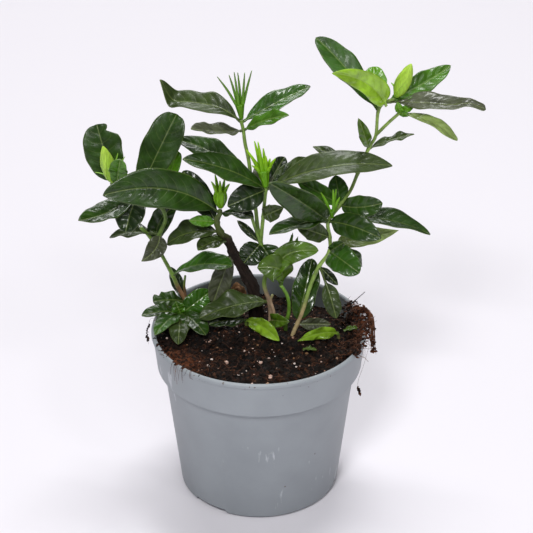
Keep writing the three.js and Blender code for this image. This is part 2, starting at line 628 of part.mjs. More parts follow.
const plant = new THREE.Group();
plant.add(toMesh('pot', potSolid(), 'pot'));
plant.add(toMesh('soil', soilSolid(Object.values(SHOOTS).map(stemHole)), 'soil'));
plant.add(toMesh('root_clump', limbSolid(ROOT_CLUMP), 'root'));
for (const [name, shoot] of Object.entries(SHOOTS)) plant.add(toMesh(name, shootSolid(shoot), shoot.colour));
for (const [name, leaf] of Object.entries(YOUNG_LEAVES)) plant.add(toMesh(name, leafSolid(leaf), 'young'));
for (const [name, calyx] of Object.entries(CALYXES)) plant.add(toMesh(name, calyxSolid(calyx), 'calyx'));
for (const [name, bud] of Object.entries(BUDS)) plant.add(toMesh(name, budSolid(bud), 'bud'));

export default plant;
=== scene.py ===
# A young gardenia in its 13 cm nursery pot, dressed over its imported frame: the pot, the peat with its
# perlite and roots, the rooted cuttings with their leaves, and the calyxes and buds at their tips.
# Metres, +Z up, front towards -Y. Sizes are written in millimetres, and MM turns them into metres.
import math
import random

import bmesh
import bpy
from mathutils import Matrix, Vector, noise


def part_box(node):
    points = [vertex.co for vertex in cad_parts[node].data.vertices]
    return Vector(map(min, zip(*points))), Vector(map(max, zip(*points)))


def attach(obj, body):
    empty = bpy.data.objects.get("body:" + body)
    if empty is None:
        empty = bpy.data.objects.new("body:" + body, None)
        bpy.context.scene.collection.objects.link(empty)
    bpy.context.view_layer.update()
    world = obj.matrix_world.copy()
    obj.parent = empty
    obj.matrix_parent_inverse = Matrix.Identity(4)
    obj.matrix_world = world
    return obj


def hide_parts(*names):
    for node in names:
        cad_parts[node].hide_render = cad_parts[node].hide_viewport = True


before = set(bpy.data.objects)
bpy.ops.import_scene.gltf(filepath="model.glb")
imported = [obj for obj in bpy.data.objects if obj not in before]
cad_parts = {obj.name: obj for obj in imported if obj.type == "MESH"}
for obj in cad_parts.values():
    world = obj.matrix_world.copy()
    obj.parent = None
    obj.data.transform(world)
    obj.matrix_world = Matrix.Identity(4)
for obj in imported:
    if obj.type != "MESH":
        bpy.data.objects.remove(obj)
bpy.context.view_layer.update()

# ---- camera ---------------------------------------------------------------------------------------
# It stands a metre away in front of the plant and looks down on it by some 29 degrees, through a long
# lens, so that the pot hardly tapers by perspective.
MM = 0.001
LOOK_DOWN = math.radians(29.3)
CAMERA_REACH = 1000 * MM
CAMERA_AIM = Vector((4.4, 0, 148.9)) * MM
SENSOR = 36.0  # mm
LENS = 114.3  # mm

camera_data = bpy.data.cameras.new("camera")
camera_data.sensor_width = SENSOR
camera_data.lens = LENS
camera = bpy.data.objects.new("camera", camera_data)
bpy.context.collection.objects.link(camera)
view_line = Vector((0, math.cos(LOOK_DOWN), -math.sin(LOOK_DOWN)))
camera.location = CAMERA_AIM - CAMERA_REACH * view_line
camera.rotation_euler = (math.pi / 2 - LOOK_DOWN, 0, 0)
bpy.context.scene.camera = camera
# Standard keeps the greens as saturated as they are on a young plant, which Filmic and AgX would grey.
bpy.context.scene.view_settings.view_transform = "Standard"


# ---- floor and light ------------------------------------------------------------------------------
# A sheet of pale studio paper lies under the pot. Soft lamps stand high at the front left, in front,
# above and behind. A small one at the right puts the sparkle on the leaves. Pale walls are all round.
def rgb(hex_colour):
    """The linear colour of an sRGB hex value."""
    shares = [int(hex_colour[i:i + 2], 16) / 255 for i in (1, 3, 5)]
    return (*[s / 12.92 if s <= 0.04045 else ((s + 0.055) / 1.055) ** 2.4 for s in shares], 1)


def feed(tree, node, inputs):
    """Gives a node's inputs their values, or the sockets or nodes that feed them."""
    for name, value in inputs.items():
        if isinstance(value, bpy.types.Node):
            value = next(socket for socket in value.outputs if socket.enabled)
        if isinstance(value, bpy.types.NodeSocket):
            tree.links.new(value, node.inputs[name])
        else:
            node.inputs[name].default_value = value


def add(tree, kind, inputs=None, stops=None, **settings):
    """Adds a shader node with its settings, its inputs and the stops of a colour ramp.

    A Mix node's inputs are numbered: 0 is its share, 6 and 7 its colours, and 2 and 3 its plain values.
    """
    made = tree.nodes.new("ShaderNode" + kind)
    for name, value in settings.items():
        setattr(made, name, value)
    for number, (position, colour) in enumerate(stops or []):
        ramp = made.color_ramp.elements
        stop = ramp[number] if number < 2 else ramp.new(position)
        stop.position = position
        stop.color = colour
    feed(tree, made, inputs or {})
    return made


def material(name):
    """A new material with its node tree and its surface shader."""
    made = bpy.data.materials.new(name)
    made.use_nodes = True
    return made, made.node_tree, made.node_tree.nodes["Principled BSDF"]


FLOOR_REACH = 10.0  # metres
FLOOR_PAPER = "#E9E6EC"
PAPER_FIBRE = 2.5  # mm
PLANT_MIDDLE = Vector((0, 0, 0.15))
WALL_PAINT = "#F4F3F8"
WALL_STRENGTH = 0.15
LAMPS = [  # place, width and height in metres, and watts
    ("key_box", (-0.5, -1.9, 2.3), 0.6, 0.5, 39), ("front_box", (0.3, -2.6, 2.5), 1.8, 0.7, 20),
    ("spark_box", (1.3, -1.5, 1.9), 0.3, 0.3, 5), ("top_box", (0.2, 0.6, 2.6), 0.9, 0.6, 34),
    ("back_box", (-0.3, 2.4, 1.7), 1.8, 0.6, 21),
]

paper, tree, surface = material("matt pale studio paper")
# Paper is matt, with a barely uneven surface.
spot = add(tree, "TexCoord").outputs["Object"]
fibre = add(tree, "TexNoise", {"Vector": spot, "Scale": 1 / (PAPER_FIBRE * MM)})
relief = add(tree, "Bump", {"Height": fibre, "Strength": 0.02, "Distance": 0.1 * MM})
feed(tree, surface, {"Base Color": rgb(FLOOR_PAPER), "Roughness": 0.9, "Normal": relief})

bm = bmesh.new()
bmesh.ops.create_grid(bm, x_segments=8, y_segments=8, size=FLOOR_REACH)
floor_mesh = bpy.data.meshes.new("floor")
bm.to_mesh(floor_mesh)
bm.free()
floor_mesh.materials.append(paper)
floor = bpy.data.objects.new("floor", floor_mesh)
bpy.context.collection.objects.link(floor)

for name, place_at, width, height, watts in LAMPS:
    lamp = bpy.data.lights.new(name, "AREA")
    lamp.shape = "RECTANGLE"
    lamp.size = width
    lamp.size_y = height
    lamp.energy = watts
    stand = bpy.data.objects.new(name, lamp)
    stand.location = place_at
    stand.rotation_euler = (PLANT_MIDDLE - Vector(place_at)).to_track_quat("-Z", "Y").to_euler()
    bpy.context.collection.objects.link(stand)

walls = bpy.data.worlds.new("pale walls")
bpy.context.scene.world = walls
walls.use_nodes = True
feed(walls.node_tree, walls.node_tree.nodes["Background"], {
    "Color": rgb(WALL_PAINT), "Strength": WALL_STRENGTH,
})


# ---- pot ------------------------------------------------------------------------------------------
# A round nursery pot, injection-moulded in one piece of thin grey polypropylene: a tapered body,
# a wider rim band with a rolled lip, and a floor with six drain holes on a notched foot ring.
pot_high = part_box("pot")[1]
POT_HEIGHT = pot_high[2] / MM
RIM_RADIUS = pot_high[0] / MM
BASE_RADIUS = RIM_RADIUS - 16
BODY_TOP_RADIUS = RIM_RADIUS - 7
BAND_RADIUS = RIM_RADIUS - 3
BAND_BOTTOM = POT_HEIGHT - 24
STEP_FOOT = BAND_BOTTOM + 0.2
STEP_TOP = BAND_BOTTOM + 1.2
POT_WALL = 1.1
FLOOR_TOP = 4
FOOT_DEPTH = 2.5
POT_STEPS = 192  # facets round the pot
DRAIN_HOLES = 6
DRAIN_RADIUS = 4
DRAIN_RING = 29  # radius of the ring of holes
NOTCHES = (-38, 82, 202)  # degrees from the front towards the right
NOTCH_SIZE = (27, 11, 2 * (FLOOR_TOP - 0.2))  # width, depth and height
NOTCH_TAPER = 0.8  # how much narrower a notch is at its top
EDGE_ROUND = 0.3
CORNER_ANGLE = math.radians(14)  # edges that turn by more are rounded
CREASE_ANGLE = math.radians(38)  # edges that turn by more are shaded sharp
POT_PALE = "#989EA3"
POT_GREY = "#90969B"
POT_SCUFF = "#B9BEC3"
PEAT_SMEAR = "#5C4638"


def inner_radius(z):
    """The radius of the pot's inner wall at a height, in mm."""
    if z <= STEP_FOOT:
        return BASE_RADIUS - POT_WALL + (BODY_TOP_RADIUS - BASE_RADIUS) * z / BAND_BOTTOM
    flare = (RIM_RADIUS - BAND_RADIUS - 1.2) * (z - BAND_BOTTOM) / (POT_HEIGHT - BAND_BOTTOM)
    return BAND_RADIUS - POT_WALL - 0.3 + flare


def place(bm, name, finish, stands_for=()):
    """Makes the mesh, in metres, a piece of the plant that stands for CAD nodes."""
    mesh = bpy.data.meshes.new(name)
    bm.to_mesh(mesh)
    bm.free()
    mesh.materials.append(finish)
    made = bpy.data.objects.new(name, mesh)
    bpy.context.collection.objects.link(made)
    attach(made, "root")
    if stands_for:
        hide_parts(*stands_for)
    return made


foot_wall = inner_radius(FLOOR_TOP)
pot_profile = [
    (0, 0), (13, 0), (15, FOOT_DEPTH), (BASE_RADIUS - 9, FOOT_DEPTH), (BASE_RADIUS - 7.5, 0),
    (BASE_RADIUS - 2.2, 0), (BASE_RADIUS, 2), (BODY_TOP_RADIUS, BAND_BOTTOM - 0.8),
    (BAND_RADIUS - 0.6, BAND_BOTTOM), (BAND_RADIUS, BAND_BOTTOM + 0.7),
    (RIM_RADIUS - 1.1, POT_HEIGHT - 3.6), (RIM_RADIUS, POT_HEIGHT - 2.6),
    (RIM_RADIUS, POT_HEIGHT - 0.9), (RIM_RADIUS - 0.8, POT_HEIGHT), (RIM_RADIUS - 2, POT_HEIGHT),
    (inner_radius(POT_HEIGHT - 1), POT_HEIGHT - 1), (inner_radius(STEP_TOP), STEP_TOP),
    (inner_radius(STEP_FOOT), STEP_FOOT), (foot_wall, FLOOR_TOP + 2),
    (foot_wall - 2, FLOOR_TOP), (0, FLOOR_TOP),
]
bm = bmesh.new()
ring = [bm.verts.new((r * MM, 0, z * MM)) for r, z in pot_profile]
for below, above in zip(ring, ring[1:]):
    bm.edges.new((below, above))
bmesh.ops.spin(
    bm, geom=bm.verts[:] + bm.edges[:], axis=(0, 0, 1), cent=(0, 0, 0), angle=2 * math.pi,
    steps=POT_STEPS, use_merge=True,
)
bmesh.ops.remove_doubles(bm, verts=bm.verts[:], dist=0.01 * MM)
bmesh.ops.recalc_face_normals(bm, faces=bm.faces[:])
corners = [e for e in bm.edges if e.is_manifold and e.calc_face_angle() > CORNER_ANGLE]
corners = [e for e in corners if abs(e.verts[0].co.z - e.verts[1].co.z) < 0.01 * MM]
bmesh.ops.bevel(
    bm, geom=corners, offset=EDGE_ROUND * MM, offset_type="OFFSET", segments=2, profile=0.5,
    affect="EDGES", clamp_overlap=True, material=-1,
)
for face in bm.faces:
    face.smooth = True


def at_turn(turn, out):
    """Sets a cutter at an angle from the front, and out from the middle by so many mm."""
    return Matrix.Rotation(turn, 4, "Z") @ Matrix.Translation((0, -out * MM, 0))


tool_bm = bmesh.new()
for degrees in NOTCHES:
    size = Matrix.Diagonal((*[side * MM for side in NOTCH_SIZE], 1))
    cut = bmesh.ops.create_cube(tool_bm, size=1)["verts"]
    for vert in cut:
        vert.co.x *= NOTCH_TAPER if vert.co.z > 0 else 1 / NOTCH_TAPER
    set_in = at_turn(math.radians(degrees), BASE_RADIUS - 2)
    bmesh.ops.transform(tool_bm, verts=cut, matrix=set_in @ size)
for hole in range(DRAIN_HOLES):
    bmesh.ops.create_cone(
        tool_bm, cap_ends=True, segments=32, radius1=DRAIN_RADIUS * MM, radius2=DRAIN_RADIUS * MM,
        depth=3 * FLOOR_TOP * MM, matrix=at_turn((hole + 0.5) * 2 * math.pi / DRAIN_HOLES, DRAIN_RING),
    )
tool_mesh = bpy.data.meshes.new("punch")
tool_bm.to_mesh(tool_mesh)
tool_bm.free()
punch = bpy.data.objects.new("punch", tool_mesh)
bpy.context.collection.objects.link(punch)

polypropylene, tree, surface = material("moulded grey polypropylene")
# Polypropylene from a finely textured mould is satin, with slow mottling, a few rubbed marks and dark
# specks, and dust of peat under the lip where it was filled. Its grey is painted darker towards the
# foot and paler towards the rim, as painted light from above.
spot = add(tree, "TexCoord").outputs["Object"]
apart = add(tree, "SeparateXYZ", {"Vector": spot})
mottle = add(tree, "TexNoise", {"Vector": spot, "Scale": 1 / (22 * MM), "Detail": 4})
tone = add(tree, "ValToRGB", {"Fac": mottle}, stops=[(0.3, rgb(POT_GREY)), (0.7, rgb(POT_PALE))])
scratch = add(tree, "Mapping", {"Vector": spot, "Rotation": (0, 0.5, 0), "Scale": (1, 1, 0.25)})
rub_noise = add(tree, "TexNoise", {"Vector": scratch, "Scale": 1 / (3.6 * MM), "Detail": 6})
rub_area = add(tree, "TexNoise", {"Vector": spot, "Scale": 1 / (34 * MM)})
rub_sum = add(tree, "Math", {0: rub_noise, 1: rub_area}, operation="ADD")
# Painted light: the grey is scaled from darker at the foot to paler at the rim, as light falling from
# above would.
painted_top_light = add(tree, "MapRange", {
    "Value": apart.outputs["Z"], "From Max": POT_HEIGHT * MM, "To Min": 0.9, "To Max": 1.06,
})
top_lit_tone = add(tree, "VectorMath", {0: tone, 3: painted_top_light}, operation="SCALE")
rub = add(tree, "MapRange", {"Value": rub_sum, "From Min": 1.25, "From Max": 1.33})
rubbed = add(tree, "Mix", {0: rub, 6: top_lit_tone, 7: rgb(POT_SCUFF)}, data_type="RGBA")
speck_cell = add(tree, "TexVoronoi", {"Vector": spot, "Scale": 1 / (19 * MM)})
speck = add(tree, "MapRange", {
    "Value": speck_cell, "From Min": 0.025, "From Max": 0.045, "To Min": 0.7, "To Max": 0.0,
})
specked = add(tree, "Mix", {0: speck, 6: rubbed, 7: rgb(PEAT_SMEAR)}, data_type="RGBA")
high = add(tree, "MapRange", {
    "Value": apart.outputs["Z"], "From Min": (POT_HEIGHT - 14) * MM, "From Max": POT_HEIGHT * MM,
    "To Min": 0.0, "To Max": 0.13,
})
smear_noise = add(tree, "TexNoise", {"Vector": spot, "Scale": 1 / (3 * MM), "Detail": 9})
smear_sum = add(tree, "Math", {0: smear_noise, 1: high}, operation="ADD")
smear = add(tree, "MapRange", {"Value": smear_sum, "From Min": 0.76, "From Max": 0.8, "To Max": 0.8})
soiled = add(tree, "Mix", {0: smear, 6: specked, 7: rgb(PEAT_SMEAR)}, data_type="RGBA")
gloss = add(tree, "MapRange", {"Value": mottle, "To Min": 0.46, "To Max": 0.56})
grain = add(tree, "TexNoise", {"Vector": spot, "Scale": 1 / (0.5 * MM), "Detail": 2})
relief = add(tree, "Bump", {"Height": grain, "Strength": 0.1, "Distance": 0.1 * MM})
feed(tree, surface, {"Base Color": soiled, "Roughness": gloss, "Normal": relief, "IOR": 1.49})

pot = place(bm, "pot_moulding", polypropylene, ["pot"])
punching = pot.modifiers.new("drain holes and notches", "BOOLEAN")
punching.object = punch
punching.operation = "DIFFERENCE"
punching.solver = "EXACT"
punched = bpy.data.meshes.new_from_object(pot.evaluated_get(bpy.context.evaluated_depsgraph_get()))
pot.modifiers.clear()
pot.data = punched
bpy.data.objects.remove(punch)
bm = bmesh.new()
bm.from_mesh(pot.data)
for edge in bm.edges:
    edge.smooth = not edge.is_manifold or edge.calc_face_angle() < CREASE_ANGLE
bm.to_mesh(pot.data)
bm.free()


# ---- peat -----------------------------------------------------------------------------------------
# Moist dark brown peat fills the pot to just under the lip and falls away at the back right. Its top
# is crumbly, and loose crumbs and chips of bark lie on it.
SOIL_LEVEL = 103
SOIL_DROP = 9.5  # how far the bed falls away at the back right
SOIL_FINENESS = 190  # cells across the bed
# Size and rise, in mm, of what makes the bed uneven.
LUMPS = ((11, 1.3), (5, 1.3))
CLODS = (8, 3.4)
CRUMBS = (3.4, 1.5)
GRAINS = (1.4, 0.7)
PEAT_DARK = "#070504"
PEAT_BROWN = "#20130D"
PEAT_RED = "#552D18"
PEAT_DRY = "#7A4428"
DRY_HEAP = Vector((-48.5, -35.3, 105)) * MM
CRUMB_COUNT = 1900
CLOD_COUNT = 70
SPILL_COUNT = 260  # crumbs heaped on the lip at the front left
SPILL_SPOT = (-54, 12)  # degrees from the front towards the right, and their spread
PEAT_EDGE = 0.15  # clearance to the wall


def peat_level(x, y):
    """The height of the raked peat, in mm."""
    slope = min(1.1, max(0.0, (0.45 * x + 0.9 * y) / 60))
    return SOIL_LEVEL - SOIL_DROP * slope


def peat_top(x, y):
    """The height of the peat with its lumps and crumbs, in mm."""
    spot = Vector((x, y, 0))
    (wide, high), (narrow, low) = LUMPS
    lumps = high * noise.noise(spot / wide) + low * noise.noise(spot / narrow + Vector((9, 4, 2)))
    clods, _ = noise.voronoi(spot / CLODS[0] + Vector((2, 7, 5)))
    lumps += CLODS[1] * min(0.45, clods[1] - clods[0]) - 0.9
    crumbs, _ = noise.voronoi(spot / CRUMBS[0])
    grains, _ = noise.voronoi(spot / GRAINS[0] + Vector((3, 8, 1)))
    return peat_level(x, y) + lumps + CRUMBS[1] * (0.5 - crumbs[0]) + GRAINS[1] * (0.5 - grains[0])


bm = bmesh.new()
hollow_shade_mark = bm.verts.layers.float.new("painted_hollow_shade")  # 1 where the surface lies deep
bmesh.ops.create_grid(bm, x_segments=SOIL_FINENESS, y_segments=SOIL_FINENESS, size=1)
for vert in bm.verts:
    x = vert.co.x * math.sqrt(1 - vert.co.y ** 2 / 2)
    y = vert.co.y * math.sqrt(1 - vert.co.x ** 2 / 2)
    wide = inner_radius(SOIL_LEVEL)
    level = peat_level(x * wide, y * wide)
    reach = inner_radius(level) - PEAT_EDGE
    top = peat_top(x * reach, y * reach)
    vert.co = Vector((x * reach, y * reach, top)) * MM
    vert[hollow_shade_mark] = min(1, max(0, (level + 0.7 - top) / 1.7))
edge_loop = [e for e in bm.edges if e.is_boundary]
for z in (STEP_TOP + 1.5, STEP_FOOT, FLOOR_TOP + 3, FLOOR_TOP + 0.3):
    skirt = bmesh.ops.extrude_edge_only(bm, edges=edge_loop)["geom"]
    edge_loop = [e for e in skirt if isinstance(e, bmesh.types.BMEdge) and e.is_boundary]
    reach = inner_radius(z) - 0.7
    for vert in {v for e in edge_loop for v in e.verts}:
        out = Vector((vert.co.x, vert.co.y, 0)).normalized() * reach * MM
        vert.co = out + Vector((0, 0, z * MM))
bmesh.ops.contextual_create(bm, geom=edge_loop)
bmesh.ops.recalc_face_normals(bm, faces=bm.faces[:])
for face in bm.faces:
    face.smooth = True

peat, tree, surface = material("moist crumbled peat")
# Peat is almost black where it is wet and red-brown on its fibres and where it has dried on the lip,
# dull, with a few wet glints, and its hollows are painted darker still, as painted shade.
spot = add(tree, "TexCoord").outputs["Object"]
lump = add(tree, "TexNoise", {"Vector": spot, "Scale": 1 / (6 * MM), "Detail": 9, "Roughness": 0.75})
shade = add(tree, "ValToRGB", {"Fac": lump}, stops=[
    (0.42, rgb(PEAT_DARK)), (0.56, rgb(PEAT_BROWN)), (0.66, rgb(PEAT_RED)),
])
crumb = add(tree, "TexVoronoi", {"Vector": spot, "Scale": 1 / (1.5 * MM)})
crumb_shade = add(tree, "ValToRGB", {"Fac": crumb.outputs["Color"]}, stops=[
    (0.3, rgb("#050302")), (0.6, rgb("#1B100B")), (0.75, rgb("#3E2216")), (0.88, rgb("#6E4A33")),
])
crumbled = add(tree, "Mix", {0: 0.45, 6: shade, 7: crumb_shade}, data_type="RGBA")
# Painted shade: where the bed's surface lies deep, the peat is mixed towards black, as shade would fall
# in its hollows.
painted_hollow_shade = add(tree, "Attribute", attribute_name="painted_hollow_shade")
in_shade = add(tree, "Math", {0: painted_hollow_shade.outputs["Fac"], 1: 0.85}, operation="MULTIPLY")
shaded_hollows = add(tree, "Mix", {0: in_shade, 6: crumbled, 7: rgb(PEAT_DARK)}, data_type="RGBA")
from_heap = add(tree, "VectorMath", {0: spot, 1: DRY_HEAP}, operation="DISTANCE")
heaped = add(tree, "MapRange", {
    "Value": from_heap, "From Min": 6 * MM, "From Max": 21 * MM, "To Min": 0.7, "To Max": 0.0,
})
sides = add(tree, "SeparateXYZ", {"Vector": spot})
over_lip = add(tree, "MapRange", {
    "Value": sides.outputs["X"], "From Min": 53 * MM, "From Max": 62 * MM, "To Max": 0.5,
})
dry = add(tree, "Math", {0: heaped, 1: over_lip}, operation="MAXIMUM")
patchy = add(tree, "MapRange", {
    "Value": crumb.outputs["Color"], "From Min": 0.35, "From Max": 0.75, "To Min": 0.1,
})
dried_share = add(tree, "Math", {0: dry, 1: patchy}, operation="MULTIPLY")
dried = add(tree, "Mix", {0: dried_share, 6: shaded_hollows, 7: rgb(PEAT_DRY)}, data_type="RGBA")
shine = add(tree, "MapRange", {
    "Value": lump, "From Min": 0.35, "From Max": 0.6, "To Min": 0.45, "To Max": 0.95,
})
fine = add(tree, "TexNoise", {"Vector": spot, "Scale": 1 / (0.9 * MM), "Detail": 6})
relief = add(tree, "Bump", {"Height": fine, "Strength": 1.0, "Distance": 0.8 * MM})
feed(tree, surface, {
    "Base Color": dried, "Roughness": shine, "Normal": relief, "Specular IOR Level": 0.2,
})
place(bm, "peat_bed", peat, ["soil"])


def lie(draw, radius):
    """A random spot on the peat, in mm, for a bit of that radius."""
    reach = (inner_radius(SOIL_LEVEL) - radius - 0.6) * math.sqrt(draw.random())
    turn = draw.uniform(0, 2 * math.pi)
    x, y = reach * math.cos(turn), reach * math.sin(turn)
    return Vector((x, y, peat_top(x, y)))


def add_bit(bm, draw, spot, radius, stretch, rough=0.3, fineness=1):
    """A lump of about that radius, stretched along a random direction, with an uneven surface."""
    bit = bmesh.ops.create_icosphere(bm, subdivisions=fineness, radius=1)["verts"]
    turn = Matrix.Rotation(draw.uniform(0, 2 * math.pi), 3, "Z")
    tilt = Matrix.Rotation(draw.uniform(-0.5, 0.5), 3, "X")
    seed = Vector((draw.random(), draw.random(), draw.random())) * 50
    for vert in bit:
        swell = 1 + rough * noise.noise(vert.co * 1.7 + seed) * 2
        shape = Vector((vert.co.x * stretch[0], vert.co.y * stretch[1], vert.co.z * stretch[2]))
        vert.co = (spot + turn @ tilt @ shape * radius * swell) * MM
    return bit


def scatter(bm, count, add_one, handful=60):
    """Adds many bits, a handful at a time, because a full mesh takes each new one slowly."""
    for start in range(0, count, handful):
        few = bmesh.new()
        for _ in range(min(handful, count - start)):
            add_one(few)
        heap = bpy.data.meshes.new("handful")
        few.to_mesh(heap)
        few.free()
        bm.from_mesh(heap)
        bpy.data.meshes.remove(heap)


def add_crumb(bm):
    """A crumb of peat somewhere on the bed."""
    radius = 0.3 + 1.6 * draw.random() ** 3
    stretch = (draw.uniform(0.8, 1.7), draw.uniform(0.6, 1), draw.uniform(0.5, 0.9))
    add_bit(bm, draw, lie(draw, radius * 1.7), radius, stretch, 0.4)


def add_clod(bm):
    """A clod of peat half sunk in the bed."""
    radius = draw.uniform(1.8, 3.4)
    stretch = (draw.uniform(1, 1.5), draw.uniform(0.8, 1), draw.uniform(0.5, 0.7))
    spot = lie(draw, radius * 1.7) - Vector((0, 0, radius * 0.3))
    add_bit(bm, draw, spot, radius, stretch, 0.4, fineness=3)


def add_spilt_crumb(bm):
    """A crumb in the heap that was spilt on the lip."""
    turn = math.radians(draw.gauss(*SPILL_SPOT))
    out = draw.uniform(RIM_RADIUS - 9, RIM_RADIUS - 1)
    floor_here = max(SOIL_LEVEL, out + POT_HEIGHT - RIM_RADIUS)
    rise = draw.uniform(0, 1.6) * (out - RIM_RADIUS + 10) / 9
    spot = Vector((out * math.sin(turn), -out * math.cos(turn), floor_here + rise))
    add_bit(bm, draw, spot, draw.uniform(0.4, 1.3), (1.3, 0.9, 0.7), 0.4)


draw = random.Random(11)
bm = bmesh.new()
scatter(bm, CRUMB_COUNT, add_crumb)
scatter(bm, CLOD_COUNT, add_clod)
scatter(bm, SPILL_COUNT, add_spilt_crumb)
place(bm, "peat_crumbs", peat)


# ---- perlite --------------------------------------------------------------------------------------
# Grains of expanded volcanic glass mixed into the peat, white to pinkish and stained, which lie half
# sunk in its surface. A few are larger than the rest.
PERLITE_COUNT = 280
PERLITE_SPOTS = [  # place and radius of the larger grains, in mm
    (7, -50, 1.6), (45, -42, 1.2), (1, -33, 1.3), (-19, -33, 1.4), (-12, -49, 0.8), (5, -55, 1.0),
    (46, -30, 0.9),
]

perlite, tree, surface = material("perlite grains")
# Perlite is a chalky foam of glass, matt white, and the peat stains it pink and tan.
spot = add(tree, "TexCoord").outputs["Object"]
stain = add(tree, "TexNoise", {"Vector": spot, "Scale": 1 / (9 * MM), "Detail": 4})
colour = add(tree, "ValToRGB", {"Fac": stain}, stops=[
    (0.35, rgb("#8A6440")), (0.47, rgb("#C9A594")), (0.6, rgb("#EADAD2")),
])
pores = add(tree, "TexVoronoi", {"Vector": spot, "Scale": 1 / (0.5 * MM)})
relief = add(tree, "Bump", {"Height": pores, "Strength": 0.6, "Distance": 0.15 * MM})
feed(tree, surface, {"Base Color": colour, "Roughness": 0.85, "Normal": relief})


def add_grain(bm):
    """A grain of perlite somewhere on the bed."""
    radius = 0.25 + 0.55 * draw.random() ** 3
    stretch = (draw.uniform(0.9, 1.3), 1, draw.uniform(0.7, 1))
    add_bit(bm, draw, lie(draw, radius), radius, stretch, 0.3, 2)


draw = random.Random(5)
bm = bmesh.new()
scatter(bm, PERLITE_COUNT, add_grain)
for x, y, radius in PERLITE_SPOTS:
    add_bit(bm, draw, Vector((x, y, peat_top(x, y) + 0.3)), radius, (1, 0.8, 0.7), 0.4, 2)
place(bm, "perlite_grains", perlite)


# ---- root fibres ----------------------------------------------------------------------------------
# Fine red-brown roots and moss fibres lie on the peat and hang over the lip, with crumbs caught on
# them. At the right a torn mat of them lies over the lip, and a strip of it hangs down outside.
FIBRE_COUNT = 300
FIBRE_STEP = 1.9  # mm between the bends of a root on the bed
ROOT_TAN = "#7A4A2E"
ROOT_BROWN = "#26130B"
TWIG_DARK = "#1A120D"
CHIP_TAN = "#8A6444"
STRIP = [
    (55, 15, 104), (57, 15.5, 107.5), (60.5, 16.5, 109.8), (64.5, 16.5, 109.4), (67.3, 14.5, 106),
    (68.6, 11, 100), (69.4, 7.5, 92.5), (70, 5, 85),
]
STRIP_RADII = (2.6, 1.3)
STRIP_STRANDS = 60
STRIP_CRUMBS = 220
MAT_STRANDS = 110
MAT_STEP = 1.5  # mm between the bends of a root in the mat
MAT_CRUMBS = 420
MAT_TURNS = (60, 118)  # degrees from the front towards the right that the mat covers
# Roots that hang over the lip: degrees from the front towards the right, and reach down and in, in mm.
OVERHANGS = [(-50, 13, 5), (-47, 8, 6), (-43, 10, 4), (-39, 6, 7), (71, 12, 5)]
OVERHANG_STRANDS = 3  # fibres in each of them
THREADS = [
    [(-61, 9, 104.5), (-65.4, 9.5, 107.6), (-67.4, 9.5, 103), (-68.4, 9, 96), (-67.9, 8.8, 89.5)],
    [
        (63, -2, 105), (66.2, -2.4, 107.4), (66.8, -2.8, 98), (63.6, -3, 82), (60.4, -3, 69),
        (62, -3, 60),
    ],
]
THREAD_BITS = [(0.5, 0.9), (0.88, 1)]  # how far along each thread its crumbs hang
THREAD_CRUMBS = 34
THREAD_RADIUS = 0.07
TWIGS = [
    [(55, 21, 106), (56.7, 20, 112), (59.7, 20, 115), (64.5, 20, 120)],
    [(58.6, 20, 113.8), (60.5, 18, 112.4)],
]
TWIG_RADIUS = 0.42
CHIP_SPOT = Vector((-13.6, 54, 98))


def on_line(points, t):
    """The point at t, 0 to 1, of a smooth line through the points."""
    at = t * (len(points) - 1)
    i = min(int(at), len(points) - 2)
    f = at - i
    p1, p2 = Vector(points[i]), Vector(points[i + 1])
    p0 = Vector(points[i - 1]) if i > 0 else 2 * p1 - p2
    p3 = Vector(points[i + 2]) if i + 2 < len(points) else 2 * p2 - p1
    return 0.5 * (2 * p1 + (p2 - p0) * f + (2 * p0 - 5 * p1 + 4 * p2 - p3) * f * f
                  + (3 * p1 - p0 - 3 * p2 + p3) * f ** 3)


def add_rod(bm, points, girth, sides=12, rings=24, flat=1.0):
    """A closed rod round the smooth line through points, in mm.

    girth(t, turn) is its radius, and flat how deep it is for its width.
    """
    grid = bmesh.ops.create_grid(bm, x_segments=rings, y_segments=sides, size=1)["verts"]
    chord = Vector(points[-1]) - Vector(points[0])
    across = Vector((0, 1, 0)) if abs(chord.x) > abs(chord.z) else Vector((1, 0, 0))
    for vert in grid:
        t = (vert.co.x + 1) / 2
        turn = math.pi * vert.co.y
        line = (on_line(points, min(1, t + 0.01)) - on_line(points, max(0, t - 0.01))).normalized()
        right = (across - line * across.dot(line)).normalized()
        ahead = line.cross(right)
        radius = girth(t, turn)
        vert.co = on_line(points, t) + right * radius * math.cos(turn)
        vert.co = (vert.co + ahead * flat * radius * math.sin(turn)) * MM
    seam = bmesh.ops.find_doubles(bm, verts=grid, dist=0.001 * MM)["targetmap"]
    bmesh.ops.weld_verts(bm, targetmap=seam)
    grid = [v for v in grid if v.is_valid]
    open_edges = {e for v in grid for e in v.link_edges if e.is_boundary}
    bmesh.ops.holes_fill(bm, edges=list(open_edges), sides=0)
    return grid


def add_root(bm, points, thick, sides, rings, narrowing=0.5):
    """A root or twig that gets thinner on its way, in mm."""
    add_rod(bm, points, lambda t, turn: thick * (1 - narrowing * t), sides, rings)


fibre, tree, surface = material("fine dead roots")
